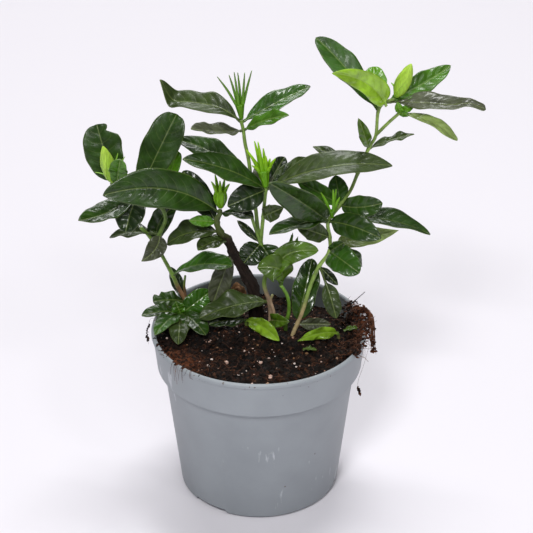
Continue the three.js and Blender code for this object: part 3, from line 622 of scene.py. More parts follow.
# Dead roots are dull and woody, tan where they are dry and dark where peat clings to them.
spot = add(tree, "TexCoord").outputs["Object"]
patch = add(tree, "TexNoise", {"Vector": spot, "Scale": 1 / (6 * MM), "Detail": 5})
colour = add(tree, "ValToRGB", {"Fac": patch}, stops=[(0.38, rgb(ROOT_BROWN)), (0.66, rgb(ROOT_TAN))])
bark = add(tree, "TexNoise", {"Vector": spot, "Scale": 1 / (0.4 * MM), "Detail": 3})
relief = add(tree, "Bump", {"Height": bark, "Strength": 0.6, "Distance": 0.1 * MM})
feed(tree, surface, {"Base Color": colour, "Roughness": 0.8, "Normal": relief})


def strip_radius(t):
    """The radius of the strip that hangs down outside, in mm."""
    return STRIP_RADII[0] + (STRIP_RADII[1] - STRIP_RADII[0]) * t


def stray(draw, height=1):
    """A random step, of up to 1 along x and y and up to height along z."""
    return Vector((draw.uniform(-1, 1), draw.uniform(-1, 1), draw.uniform(-height, height)))


def on_mat(draw, lift):
    """A random spot on the mat, in mm: on the peat beside the lip, or on the lip itself."""
    turn = math.radians(draw.uniform(*MAT_TURNS))
    out = draw.triangular(RIM_RADIUS - 13, RIM_RADIUS + 2.4, RIM_RADIUS - 1)
    floor_here = SOIL_LEVEL - 4 + 8 * min(1, (out - RIM_RADIUS + 13) / 11)
    heap = 2.4 * max(0, noise.noise(Vector((turn * 6, out / 5, 0))) + 0.4)
    drop = draw.random() * 3.2 * max(0, out - RIM_RADIUS)
    height = floor_here - drop + lift * (0.5 + heap)
    return Vector((out * math.sin(turn), -out * math.cos(turn), height))


def add_mat_crumb(bm):
    """A crumb of peat that is caught in the mat."""
    add_bit(bm, draw, on_mat(draw, draw.random()), draw.uniform(0.35, 1.25), (1.3, 0.9, 0.8), 0.45)


def add_strip_crumb(bm):
    """A crumb of peat that is caught in the strip."""
    t = draw.uniform(0, 1)
    girth = strip_radius(t) * draw.uniform(0.3, 1.2)
    spot = on_line(STRIP, t) + stray(draw) * girth
    add_bit(bm, draw, spot, draw.uniform(0.35, 1.15), (1.2, 0.9, 0.8), 0.45)


draw = random.Random(23)
bm = bmesh.new()
for _ in range(FIBRE_COUNT):
    start = lie(draw, 6)
    heading = draw.uniform(0, 2 * math.pi)
    points = []
    for step in range(5):
        x = start.x + FIBRE_STEP * step * math.cos(heading)
        y = start.y + FIBRE_STEP * step * math.sin(heading)
        points.append((x, y, peat_top(x, y) + draw.uniform(-0.2, 1.1)))
        heading += draw.uniform(-0.8, 0.8)
    add_root(bm, points, draw.uniform(0.09, 0.2), 3, 8, narrowing=0.6)
for degrees, drop, inside in OVERHANGS:
    turn = math.radians(degrees)
    out = Vector((math.sin(turn), -math.cos(turn), 0))
    across = Vector((out.y, -out.x, 0))
    for _ in range(OVERHANG_STRANDS):
        bend = draw.uniform(-4.5, 4.5)
        low = drop * draw.uniform(0.5, 1)
        points = [
            out * (RIM_RADIUS - 3 - inside) + Vector((0, 0, SOIL_LEVEL)),
            out * (RIM_RADIUS - 4) + across * bend * 0.2 + Vector((0, 0, SOIL_LEVEL + 2)),
            out * (RIM_RADIUS - 1) + across * bend * 0.4 + Vector((0, 0, POT_HEIGHT + 0.5)),
            out * (RIM_RADIUS + 0.5) + across * bend * 0.6 + Vector((0, 0, POT_HEIGHT - 2.5)),
            out * (RIM_RADIUS + 0.3) + across * bend + Vector((0, 0, POT_HEIGHT - low)),
        ]
        add_root(bm, points, draw.uniform(0.08, 0.17), 4, 14)
for thread in THREADS:
    add_root(bm, thread, THREAD_RADIUS, 4, 40, narrowing=0)
for _ in range(MAT_STRANDS):
    spot = on_mat(draw, draw.random())
    heading = Vector((draw.uniform(-1, 1), draw.uniform(-1, 1), 0)).normalized()
    points = []
    for step in range(6):
        points.append(spot.copy())
        heading = (heading + stray(draw, 0.7) * 0.9).normalized()
        spot += heading * MAT_STEP
    add_root(bm, points, draw.uniform(0.12, 0.25), 3, 14)
place(bm, "loose_roots", fibre)

bm = bmesh.new()
for _ in range(STRIP_STRANDS):
    start, phase, away = draw.uniform(0, 0.7), draw.uniform(0, 6.28), draw.uniform(0.2, 1.2)
    reach, curl = draw.uniform(0.2, 0.6), draw.uniform(-9, 9)
    points = []
    for step in range(8):
        t = min(1, start + reach * step / 7)
        girth = away * strip_radius(t)
        turn = phase + curl * t
        offset = Vector((math.cos(turn), math.cos(turn + 2), math.sin(turn))) * girth
        points.append(on_line(STRIP, t) + offset)
    add_root(bm, points, draw.uniform(0.12, 0.28), 4, 18)
place(bm, "pulled_root_strip", fibre, ["root_clump"])

bm = bmesh.new()
scatter(bm, STRIP_CRUMBS, add_strip_crumb)
scatter(bm, MAT_CRUMBS, add_mat_crumb)
for thread, (first, last) in zip(THREADS, THREAD_BITS):
    for _ in range(THREAD_CRUMBS):
        offset = stray(draw) * 0.6
        spot = on_line(thread, draw.uniform(first, last)) + offset
        add_bit(bm, draw, spot, draw.uniform(0.3, 0.8), (0.9, 0.8, 1.2), 0.4)
place(bm, "caught_crumbs", peat, ["root_clump"])

wood, tree, surface = material("dead twig and bark chip")
# Weathered wood is dull and streaked, from tan on a broken chip to almost black on a wet twig.
spot = add(tree, "TexCoord").outputs["Object"]
apart = add(tree, "SeparateXYZ", {"Vector": spot})
dry = add(tree, "MapRange", {"Value": apart.outputs["X"], "From Min": 0, "From Max": 30 * MM})
streak = add(tree, "TexNoise", {"Vector": spot, "Scale": 1 / (1.5 * MM), "Detail": 6})
colour = add(tree, "Mix", {0: dry, 6: rgb(CHIP_TAN), 7: rgb(TWIG_DARK)}, data_type="RGBA")
lighter = add(tree, "MapRange", {"Value": streak, "To Min": 0.6, "To Max": 1.4})
streaked = add(tree, "VectorMath", {0: colour, 3: lighter}, operation="SCALE")
relief = add(tree, "Bump", {"Height": streak, "Strength": 0.8, "Distance": 0.3 * MM})
feed(tree, surface, {"Base Color": streaked, "Roughness": 0.85, "Normal": relief})

bm = bmesh.new()
for twig in TWIGS:
    add_root(bm, twig, TWIG_RADIUS, 8, 20)
add_bit(bm, draw, CHIP_SPOT, 5, (1.0, 0.5, 1.5), 0.25, 4)
place(bm, "twig_and_chip", wood)


# ---- left shoot -----------------------------------------------------------------------------------
# A rooted cutting that leans out to the left: a stem, pale brown below and green above, with opposite
# leaves. A gardenia leaf is a leathery blade with a pale midrib, curved side veins and a quilted gloss.
# The ways that the upper side of a leaf may face.
FORWARD = (0, -0.87, 0.49)
UPWARD = (0, -0.15, 1)
STEEP = (0, -0.7, 0.7)
SLOPING = (0, -0.35, 1)

PETIOLE = 0.8  # half width of a leaf stalk
BLADE = 0.45  # thickness of a blade between its ribs
NOTCH_REACH = 0.1  # share of the length that a bite in the edge spans, to each side
DIP_REACH = 0.13  # share of the length that a sag spans, to each side
EDGE_UNEVEN = 0.12  # how far the outline wanders from an even curve
EDGE_CURL = 1.2  # how far the edge wanders up and down, besides its even waves
EDGE_WAVES = 2.2  # waves along each edge
TAIL_FROM = 0.95  # share of the length from which a blunt tip rounds off
TIP_FROM = 0.96  # share of the length from which the midrib is thinner than the stalk
VEIN_SPACING = 6.5
VEIN_SWEEP = (0.10, 0.12)  # how far, in spacings, the side veins run forward on their way out
QUILT = 0.55  # how far the blade rises between its side veins
GROOVE = 0.35  # how deep the midrib lies in the upper face
GROOVE_WIDTH = 0.9
RIB_DEPTH = 0.5  # how far the midrib stands out below
RIB_WIDTH = 0.7
LEAF_RINGS = 56  # cells along a blade
LEAF_LANES = 14  # cells across it
STEM_SIDES = 14
NODE_SWELL = 0.22  # how much thicker a stem is where leaves join it
NODE_REACH = 1.4
TONES = {
    "dark": "#172A09", "mature": "#243F0B", "green": "#2E5410", "lively": "#426E14", "soft": "#4A6A16",
    "fresh": "#5A9012", "bright": "#789C22", "lime": "#8CB42E", "pale": "#8A9F58", "olive": "#33431A",
    "grey": "#464B36", "moss": "#3F5A0E",
}


def foliage():
    """An empty mesh whose vertices carry the marks that the leaf and stem surfaces read."""
    bm = bmesh.new()
    bm.verts.layers.float_vector.new("blade")  # share of the length, side -1 to 1, half width in mm
    bm.verts.layers.float_vector.new("lift")
    bm.verts.layers.float.new("veins")  # counts the side veins from the foot
    bm.verts.layers.float.new("below")  # 1 on the underside
    bm.verts.layers.float_color.new("tint")
    return bm


def add_leaf(bm, base, tip, width, face=FORWARD, arch=0, wind=0, sway=0, fold=13, wave=1, stalk=0.07,
             belly=0.5, taper=1.5, notch=(0, 0, 0), dip=(0, 0), tail=0, tone="mature", under="olive",
             wax=0.3):
    """A leaf from its foot to its tip, in mm, with its upper side towards face.

    dip is where it sags before a tip that turns up, and by how much. tail is the width of a blunt tip,
    and wax how glossy it is, from 0 to 1.
    """
    blade = bm.verts.layers.float_vector["blade"]
    lift_mark = bm.verts.layers.float_vector["lift"]
    veins = bm.verts.layers.float["veins"]
    below = bm.verts.layers.float["below"]
    tint = bm.verts.layers.float_color["tint"]
    base = Vector(base)
    span = Vector(tip) - base
    along = span.normalized()
    up = Vector(face)
    up = (up - along * up.dot(along)).normalized()
    side = up.cross(along)
    raise_by = math.radians(fold)
    pairs = max(5, round(span.length / VEIN_SPACING))
    notch_at, notch_side, notch_depth = notch
    sheet = bmesh.ops.create_grid(bm, x_segments=LEAF_RINGS, y_segments=LEAF_LANES, size=1)["verts"]
    for vert in sheet:
        u, v = (vert.co.x + 1) / 2, vert.co.y
        edge, hand = abs(v), math.copysign(1, v)
        bow = 4 * u * (1 - u)
        slope = 4 * (1 - 2 * u)
        sag = dip[1] * math.exp(-((u - dip[0]) / DIP_REACH) ** 2)
        rise = arch * bow + wind * math.sin(2 * math.pi * u) - sag
        climb = arch * slope + wind * 2 * math.pi * math.cos(2 * math.pi * u)
        climb += sag * 2 * (u - dip[0]) / DIP_REACH ** 2
        line = (span + up * climb + side * sway * slope).normalized()
        across = (side - line * side.dot(line)).normalized()
        lift = line.cross(across)
        share = max(0.0, (u - stalk) / (1 - stalk))
        outline = (share / belly) ** (taper * belly)
        outline *= ((1 - share) / (1 - belly)) ** (taper * (1 - belly))
        bitten = max(0, 1 - abs(u - notch_at) / NOTCH_REACH) if hand == notch_side else 0
        blunt = tail / 2 * math.sqrt(1 - max(0, (u - TAIL_FROM) / (1 - TAIL_FROM)) ** 2)
        half = width / 2 * outline * (1 - notch_depth * bitten)
        half = max(PETIOLE * (1 if u < TIP_FROM else 0.3), half, blunt if u > 0.6 else 0)
        uneven = noise.noise(Vector((5 * u, 3 * hand, span.x)))
        half *= 1 + EDGE_UNEVEN * uneven * bow
        ripple = math.sin(2 * math.pi * (EDGE_WAVES * u + 0.22 * hand + span.y / 20))
        ripple = wave * edge ** 2 * bow * ripple
        ripple += EDGE_CURL * edge ** 3 * bow * noise.noise(Vector((6 * u, 2 * hand, span.z)))
        phase = pairs * (share - VEIN_SWEEP[0] * edge - VEIN_SWEEP[1] * edge ** 3)
        opened = min(1, half / (4 * PETIOLE)) if share > 0 else 0
        quilt = QUILT * (0.5 - 0.5 * math.cos(2 * math.pi * phase)) * (1 - edge ** 4) * min(1, 4 * edge)
        groove = GROOVE * math.exp(-(edge * half / GROOVE_WIDTH) ** 2)
        point = base + span * u + up * rise + side * sway * bow + across * half * v * math.cos(raise_by)
        raised = half * edge * math.sin(raise_by) + ripple + opened * (quilt - groove) + BLADE / 2
        point += lift * raised
        vert.co = point * MM
        vert[blade] = (share, v, half)
        vert[lift_mark] = lift
        vert[veins] = phase
        vert[tint] = (*rgb(TONES[tone])[:3], wax)
    faces = list({face for vert in sheet for face in vert.link_faces})
    shell = bmesh.ops.extrude_face_region(bm, geom=faces, use_keep_orig=True)["geom"]
    for vert in (piece for piece in shell if isinstance(piece, bmesh.types.BMVert)):
        share, v, half = vert[blade]
        rib = RIB_DEPTH * math.exp(-(v * half / RIB_WIDTH) ** 2) * (1 - 0.6 * share)
        stalk_depth = 1.2 * PETIOLE * math.sqrt(1 - min(1, v * v)) if share == 0 else 0
        vert.co -= vert[lift_mark] * (BLADE + max(rib, stalk_depth)) * MM
        vert[below] = 1
        vert[tint] = (*rgb(TONES[under])[:3], 0)


def add_stem(bm, foot, end, path, joints, wood, green, woody_to, rough=0.05, furrow=0):
    """A stem along path, in mm, thicker at its leaf joints, woody up to a height and green above."""
    blade = bm.verts.layers.float_vector["blade"]
    tint = bm.verts.layers.float_color["tint"]
    spans = len(path) - 1
    length = sum((Vector(b) - Vector(a)).length for a, b in zip(path, path[1:]))

    def girth(t, turn):
        swell = sum(math.exp(-(((t - joint / spans) * length) / NODE_REACH) ** 2) for joint in joints)
        spot = Vector((2 * math.cos(turn), 2 * math.sin(turn), t * length / 4))
        ridge = Vector((4 * math.cos(turn), 4 * math.sin(turn), t * length / 14))
        crease = furrow * abs(noise.noise(ridge))
        shape = 1 + NODE_SWELL * min(1, swell) + rough * noise.noise(spot) - crease
        return (foot + (end - foot) * t) * shape

    rod = add_rod(bm, path, girth, STEM_SIDES * (4 if furrow else 1), max(10, 6 * spans))
    old, young = Vector(rgb(wood)), Vector(rgb(green))
    for vert in rod:
        height = vert.co.z / MM + 3 * noise.noise(vert.co / (6 * MM))
        youth = min(1, max(0, (height - woody_to + 5) / 10))
        vert[tint] = old.lerp(young, youth)
        vert[blade] = (youth, 0, 0)


def grow(name, limbs, leaves, slot="leaf", **bark_look):
    """A shoot: its stems as one piece and its leaves as another, both for the CAD node of that name.

    A leaf's at is the number of its limb, and of the point along that limb where it is fixed.
    """
    stems = foliage()
    for number, limb in enumerate(limbs):
        joints = {leaf["at"][1] for leaf in leaves if leaf["at"][0] == number}
        add_stem(stems, **limb, joints=joints, **bark_look)
    blades = foliage()
    for leaf in leaves:
        limb, point = leaf["at"]
        add_leaf(blades, limbs[limb]["path"][point], **{key: leaf[key] for key in leaf if key != "at"})
    for bm, part, finish in ((stems, "stems", bark), (blades, "leaves", cuticle)):
        dress(bm, f"{name}_{part}", finish, [name])


def dress(bm, name, finish, stands_for):
    """Places a leafy mesh, once its faces point outwards, smooth, and its helper mark is gone."""
    bmesh.ops.recalc_face_normals(bm, faces=bm.faces[:])
    for face in bm.faces:
        face.smooth = True
    bm.verts.layers.float_vector.remove(bm.verts.layers.float_vector["lift"])
    return place(bm, name, finish, stands_for)


cuticle, tree, surface = material("gardenia leaf with waxy cuticle")
# A waxy skin gives the dark leaf a broad soft gloss. The midrib and side veins are paler and sunk, the
# blade swells between them, and the underside is paler and more matt. A thin pale line along the edge
# is a painted highlight.
spot = add(tree, "TexCoord").outputs["Object"]
blade = add(tree, "Attribute", attribute_name="blade")
across = add(tree, "SeparateXYZ", {"Vector": blade.outputs["Vector"]})
phase = add(tree, "Attribute", attribute_name="veins")
tint = add(tree, "Attribute", attribute_name="tint")
below = add(tree, "Attribute", attribute_name="below")
edge = add(tree, "Math", {0: across.outputs["Y"]}, operation="ABSOLUTE")
from_rib = add(tree, "Math", {0: edge, 1: across.outputs["Z"]}, operation="MULTIPLY")
midrib = add(tree, "MapRange", {
    "Value": from_rib, "From Min": 0.1, "From Max": 0.5, "To Min": 1.0, "To Max": 0.0,
}, interpolation_type="SMOOTHSTEP")
near_vein = add(tree, "Math", {0: phase.outputs["Fac"], 1: 0.5}, operation="PINGPONG")
vein = add(tree, "MapRange", {
    "Value": near_vein, "From Min": 0.015, "From Max": 0.07, "To Min": 1.0, "To Max": 0.0,
}, interpolation_type="SMOOTHSTEP")
fade = add(tree, "MapRange", {
    "Value": edge, "From Min": 0.55, "From Max": 0.95, "To Min": 1.0, "To Max": 0.0,
})
side_vein = add(tree, "Math", {0: vein, 1: fade}, operation="MULTIPLY")
patch = add(tree, "TexNoise", {"Vector": spot, "Scale": 1 / (9 * MM), "Detail": 4})
lighter = add(tree, "MapRange", {
    "Value": patch, "From Min": 0.3, "From Max": 0.7, "To Min": 0.6, "To Max": 1.5,
})
mottled = add(tree, "VectorMath", {0: tint.outputs["Color"], 3: lighter}, operation="SCALE")
vein_tint = add(tree, "Mix", {0: 0.45, 6: tint.outputs["Color"], 7: rgb("#9DAE62")}, data_type="RGBA")
vein_share = add(tree, "Math", {0: side_vein, 1: 0.17}, operation="MULTIPLY")
with_veins = add(tree, "Mix", {0: vein_share, 6: mottled, 7: vein_tint}, data_type="RGBA")
# Painted highlight: a thin pale line along the leaf's edge, mixed in with the real pale midrib.
painted_rim_highlight = add(tree, "MapRange", {
    "Value": edge, "From Min": 0.93, "From Max": 1.0, "To Min": 0.0, "To Max": 0.7,
})
rib_or_rim_highlight = add(tree, "Math", {0: midrib, 1: painted_rim_highlight}, operation="MAXIMUM")
pale_rib_and_highlight_share = add(tree, "Math", {0: rib_or_rim_highlight, 1: 0.6}, operation="MULTIPLY")
with_rib_and_highlight = add(tree, "Mix", {0: pale_rib_and_highlight_share, 6: with_veins, 7: vein_tint}, data_type="RGBA")
speck_noise = add(tree, "TexVoronoi", {"Vector": spot, "Scale": 1 / (14 * MM)})
speck = add(tree, "MapRange", {
    "Value": speck_noise, "From Min": 0.03, "From Max": 0.05, "To Min": 0.6, "To Max": 0.0,
})
blemished = add(tree, "Mix", {0: speck, 6: with_rib_and_highlight, 7: rgb("#6A6134")}, data_type="RGBA")
underside = add(tree, "Math", {0: below.outputs["Fac"], 1: 0.45}, operation="MULTIPLY")
both_sides = add(tree, "Mix", {0: underside, 6: blemished, 7: rgb("#74865E")}, data_type="RGBA")
dull = add(tree, "MapRange", {"Value": tint.outputs["Alpha"], "To Min": 0.46, "To Max": 0.14})
polish = add(tree, "MapRange", {"Value": tint.outputs["Alpha"], "To Min": 0.05, "To Max": 0.85})
uneven = add(tree, "MapRange", {"Value": patch, "To Min": -0.07, "To Max": 0.07})
gloss_top = add(tree, "Math", {0: dull, 1: uneven}, operation="ADD")
gloss = add(tree, "Mix", {0: below.outputs["Fac"], 2: gloss_top, 3: 0.6}, data_type="FLOAT")
net = add(tree, "TexVoronoi", {"Vector": spot, "Scale": 1 / (1.3 * MM)}, feature="DISTANCE_TO_EDGE")
net_relief = add(tree, "MapRange", {"Value": net, "From Max": 0.12, "To Max": 0.25})
relief_sum = add(tree, "Math", {0: net_relief, 1: side_vein}, operation="SUBTRACT")
fine_relief = add(tree, "Bump", {"Height": relief_sum, "Strength": 0.35, "Distance": 0.25 * MM})
swell = add(tree, "TexNoise", {"Vector": spot, "Scale": 1 / (4.5 * MM), "Detail": 2})
relief = add(tree, "Bump", {
    "Height": swell, "Strength": 0.5, "Distance": 0.8 * MM, "Normal": fine_relief,
})
feed(tree, surface, {
    "Base Color": both_sides, "Roughness": gloss, "Coat Weight": polish, "Normal": relief,
    "IOR": 1.45, "Specular IOR Level": 0.35, "Coat Roughness": 0.12,
})

bark, tree, surface = material("gardenia stem bark")
# Young stems are smooth and green. Older ones have a thin brown cork with fine cracks along them.
spot = add(tree, "TexCoord").outputs["Object"]
tint = add(tree, "Attribute", attribute_name="tint")
age = add(tree, "Attribute", attribute_name="blade")
youth = add(tree, "SeparateXYZ", {"Vector": age.outputs["Vector"]})
along = add(tree, "Mapping", {"Vector": spot, "Scale": (1, 1, 0.22)})
crack = add(tree, "TexNoise", {"Vector": along, "Scale": 1 / (0.9 * MM), "Detail": 5})
patch = add(tree, "TexNoise", {"Vector": spot, "Scale": 1 / (4 * MM), "Detail": 4})
lighter = add(tree, "MapRange", {
    "Value": patch, "From Min": 0.3, "From Max": 0.7, "To Min": 0.65, "To Max": 1.35,
})
mottled = add(tree, "VectorMath", {0: tint.outputs["Color"], 3: lighter}, operation="SCALE")
gloss = add(tree, "MapRange", {"Value": youth.outputs["X"], "To Min": 0.8, "To Max": 0.42})
depth = add(tree, "MapRange", {"Value": youth.outputs["X"], "To Min": 0.9, "To Max": 0.15})
ridges = add(tree, "Math", {0: crack, 1: depth}, operation="MULTIPLY")
relief = add(tree, "Bump", {"Height": ridges, "Strength": 0.9, "Distance": 0.4 * MM})
feed(tree, surface, {"Base Color": mottled, "Roughness": gloss, "Normal": relief})

grow(
    "shoot_left", wood="#8A6848", green="#75953F", woody_to=122,
    limbs=[
        dict(foot=1.5, end=1.0, path=[
            (-42, 30, 88), (-43, 30, 101), (-45, 30, 107), (-50, 29, 118), (-53, 28, 127),
            (-57, 27, 137), (-62, 26, 148), (-67, 25, 157), (-71, 24, 162),
        ]),
        dict(foot=1.3, end=0.9, path=[
            (-62, 26, 148), (-60, 25, 157), (-56, 25, 168), (-60, 24, 178), (-71, 20, 187),
            (-85, 14, 196), (-85, 11.6, 197.8),
        ]),
        dict(foot=0.8, end=0.7, path=[(-45, 30, 108), (-46, 26, 120), (-45, 22, 130)]),
    ],
    leaves=[
        dict(
            at=(1, 5), tip=(-94, 24, 230), width=23, arch=2, taper=0.95, belly=0.58,
            notch=(0.875, -1, 0.5), wax=0.1,
        ),
        dict(at=(1, 4), tip=(-48, 32, 233), width=22, arch=3, taper=1, belly=0.62, wax=0.1),
        dict(at=(1, 4), tip=(-104, -8, 184), width=16, face=SLOPING, arch=-4, wax=0.5),
        dict(
            at=(1, 4), tip=(-78, 2, 171), width=18, face=(-0.2, -0.8, 0.6), arch=3, fold=9, taper=1,
            tone="dark", wax=0.4,
        ),
        dict(at=(1, 1), tip=(-91, 34, 150), width=12, face=UPWARD, arch=3, tone="olive"),
        dict(at=(1, 1), tip=(-70, 8, 148), width=12, arch=2, sway=3, fold=16, belly=0.4, tone="grey"),
        dict(at=(1, 0), tip=(-49, 33, 173), width=13, arch=1, sway=5, fold=9, wax=0.5),
        dict(at=(1, 3), tip=(-48, 38, 206), width=9, arch=1, wave=0, belly=0.7, tone="fresh"),
        dict(
            at=(0, 4), tip=(-16, 4, 147), width=17, face=SLOPING, arch=5, fold=16, belly=0.6,
            tone="green",
        ),
        dict(at=(0, 2), tip=(-55, 42, 125), width=8, arch=2, fold=16, tone="dark"),
        dict(
            at=(0, 2), tip=(-65, 20, 113), width=12, face=(0, -0.5, 1), arch=2, belly=0.65, taper=1.1,
            notch=(0.83, -1, 0.5),
        ),
    ],
)


# ---- trunk shoot ----------------------------------------------------------------------------------
# The oldest cutting, left of the middle, has a thick trunk of dark, furrowed wood. It carries the
# broadest leaf, which lies forward to the left.
grow(
    "shoot_trunk", wood="#22130B", green="#55632F", woody_to=163, rough=0.3, furrow=0.7,
    limbs=[
        dict(foot=4.8, end=1.1, path=[
            (-2, 22, 88), (-2, 22, 103), (-3, 22, 119), (-8, 20, 132), (-13, 18, 144),
            (-16, 17, 150), (-19, 15, 159), (-23, 13, 165), (-25, 11, 173), (-23, 10, 179),
            (-22.8, 10.3, 181.6),
        ]),
        dict(foot=3.2, end=0.9, path=[(-5, 17, 88), (-4, 18, 104), (-5, 18.5, 118), (-8, 18, 128)]),
    ],
    leaves=[
        dict(at=(0, 9), tip=(-89, -10, 201), width=24, arch=5, sway=-9, wave=0.8, taper=1.4),
        dict(at=(0, 9), tip=(-3, -6, 184), width=12, face=UPWARD, arch=2, fold=11, tone="dark"),
        dict(at=(0, 8), tip=(-41, 5, 177), width=7, arch=1, fold=11, tone="lively"),
        dict(at=(0, 8), tip=(-45, 30, 197), width=15, taper=1.1, tone="dark"),
        dict(at=(0, 7), tip=(-55, 18, 154), width=16, face=(0, -0.5, 1), arch=6, fold=16, tone="olive"),
        dict(at=(0, 6), tip=(-36, 0, 160), width=15, face=UPWARD, arch=2, tone="olive"),
        dict(
            at=(0, 5), tip=(-28, 14, 116), width=13, face=(0, -0.9, 0.3), arch=-1, belly=0.6,
            taper=1.2, tone="grey",
        ),
    ],
)


# ---- tall shoot -----------------------------------------------------------------------------------
# The middle cutting: a straight stem, pale brown at its foot, that ends in a calyx, and a second one
# beside it with a calyx of its own.
grow(
    "shoot_tall", wood="#A48A70", green="#7A9A42", woody_to=127,
    limbs=[
        dict(foot=1.4, end=0.95, path=[
            (7, 12, 88), (7, 12, 105), (6, 12, 118), (3, 12, 130), (5, 12, 145), (1, 12, 158),
            (-1, 13, 170), (-2, 14, 180), (-4, 16, 193), (-6, 18, 210), (-8, 19, 220),
            (-9, 20, 228), (-10, 20, 233), (-10, 19.8, 234.6),
        ]),
        dict(foot=1.15, end=1.0, path=[
            (1, 12, 158), (2, 9, 172), (2.5, 8, 178), (3, 7, 185), (4, 5, 197), (4, 4.2, 198.8),
        ]),
        dict(foot=1.0, end=0.95, path=[(1, 12, 158), (-2, 11, 168), (-5, 10, 179)]),
        dict(foot=1.1, end=0.8, path=[(6, 11, 88), (8, 8, 100), (9, 7, 112), (7, 7, 121), (8, 6, 126)]),
    ],
    leaves=[
        dict(
            at=(0, 12), tip=(-57, 34, 254), width=18, face=(0, -0.3, 1), arch=-2, wind=4, fold=12,
            wave=0.8, dip=(0.8, 5), tone="olive", wax=0.15,
        ),
        dict(
            at=(0, 12), tip=(30, 40, 247), width=15, face=(0, -0.3, 1), arch=1, fold=16, tone="green",
            wax=0.5,
        ),
        dict(at=(0, 11), tip=(-38, -4, 240), width=16, face=UPWARD, arch=-1, tone="grey"),
        dict(at=(0, 11), tip=(17, 8, 243), width=11, face=(0, -0.5, 1), arch=2, tone="lively"),
        dict(at=(0, 8), tip=(-50, 40, 213), width=17, face=SLOPING, arch=8, wave=1.2),
        dict(at=(1, 4), tip=(-43, -8, 223), width=18, face=(0, -0.5, 1), arch=5),
        dict(
            at=(1, 4), tip=(77, 8, 211), width=21, face=SLOPING, arch=9, wave=0.8, tone="olive",
            wax=0.12,
        ),
        dict(at=(1, 4), tip=(-18, -6, 192), width=16, arch=3, fold=11, tone="dark"),
        dict(at=(1, 4), tip=(15, 26, 208), width=11, face=STEEP, arch=2, tone="dark"),
        dict(at=(1, 4), tip=(2, 22, 207), width=13, taper=1.1, tone="grey"),
        dict(at=(1, 4), tip=(31, 30, 205), width=11, face=STEEP, arch=3, tone="olive"),
        dict(at=(1, 2), tip=(14, -4, 190), width=10, arch=2, tone="olive"),
        dict(at=(0, 5), tip=(-13, 22, 168), width=5, arch=1, fold=11, tone="dark"),
        dict(at=(0, 5), tip=(12, 8, 141), width=16, arch=2, fold=11, taper=1.2),
        dict(at=(0, 5), tip=(-9, 6, 148), width=15, arch=2, fold=11, taper=1.2, tone="dark", wax=0.6),
        dict(
            at=(0, 2), tip=(-36, 0, 113), width=19, face=SLOPING, arch=4, wave=2.4, tone="olive",
            wax=0.1,
        ),
        dict(at=(0, 1), tip=(18, -2, 112), width=9, arch=3, fold=16, tone="moss"),
    ],
)


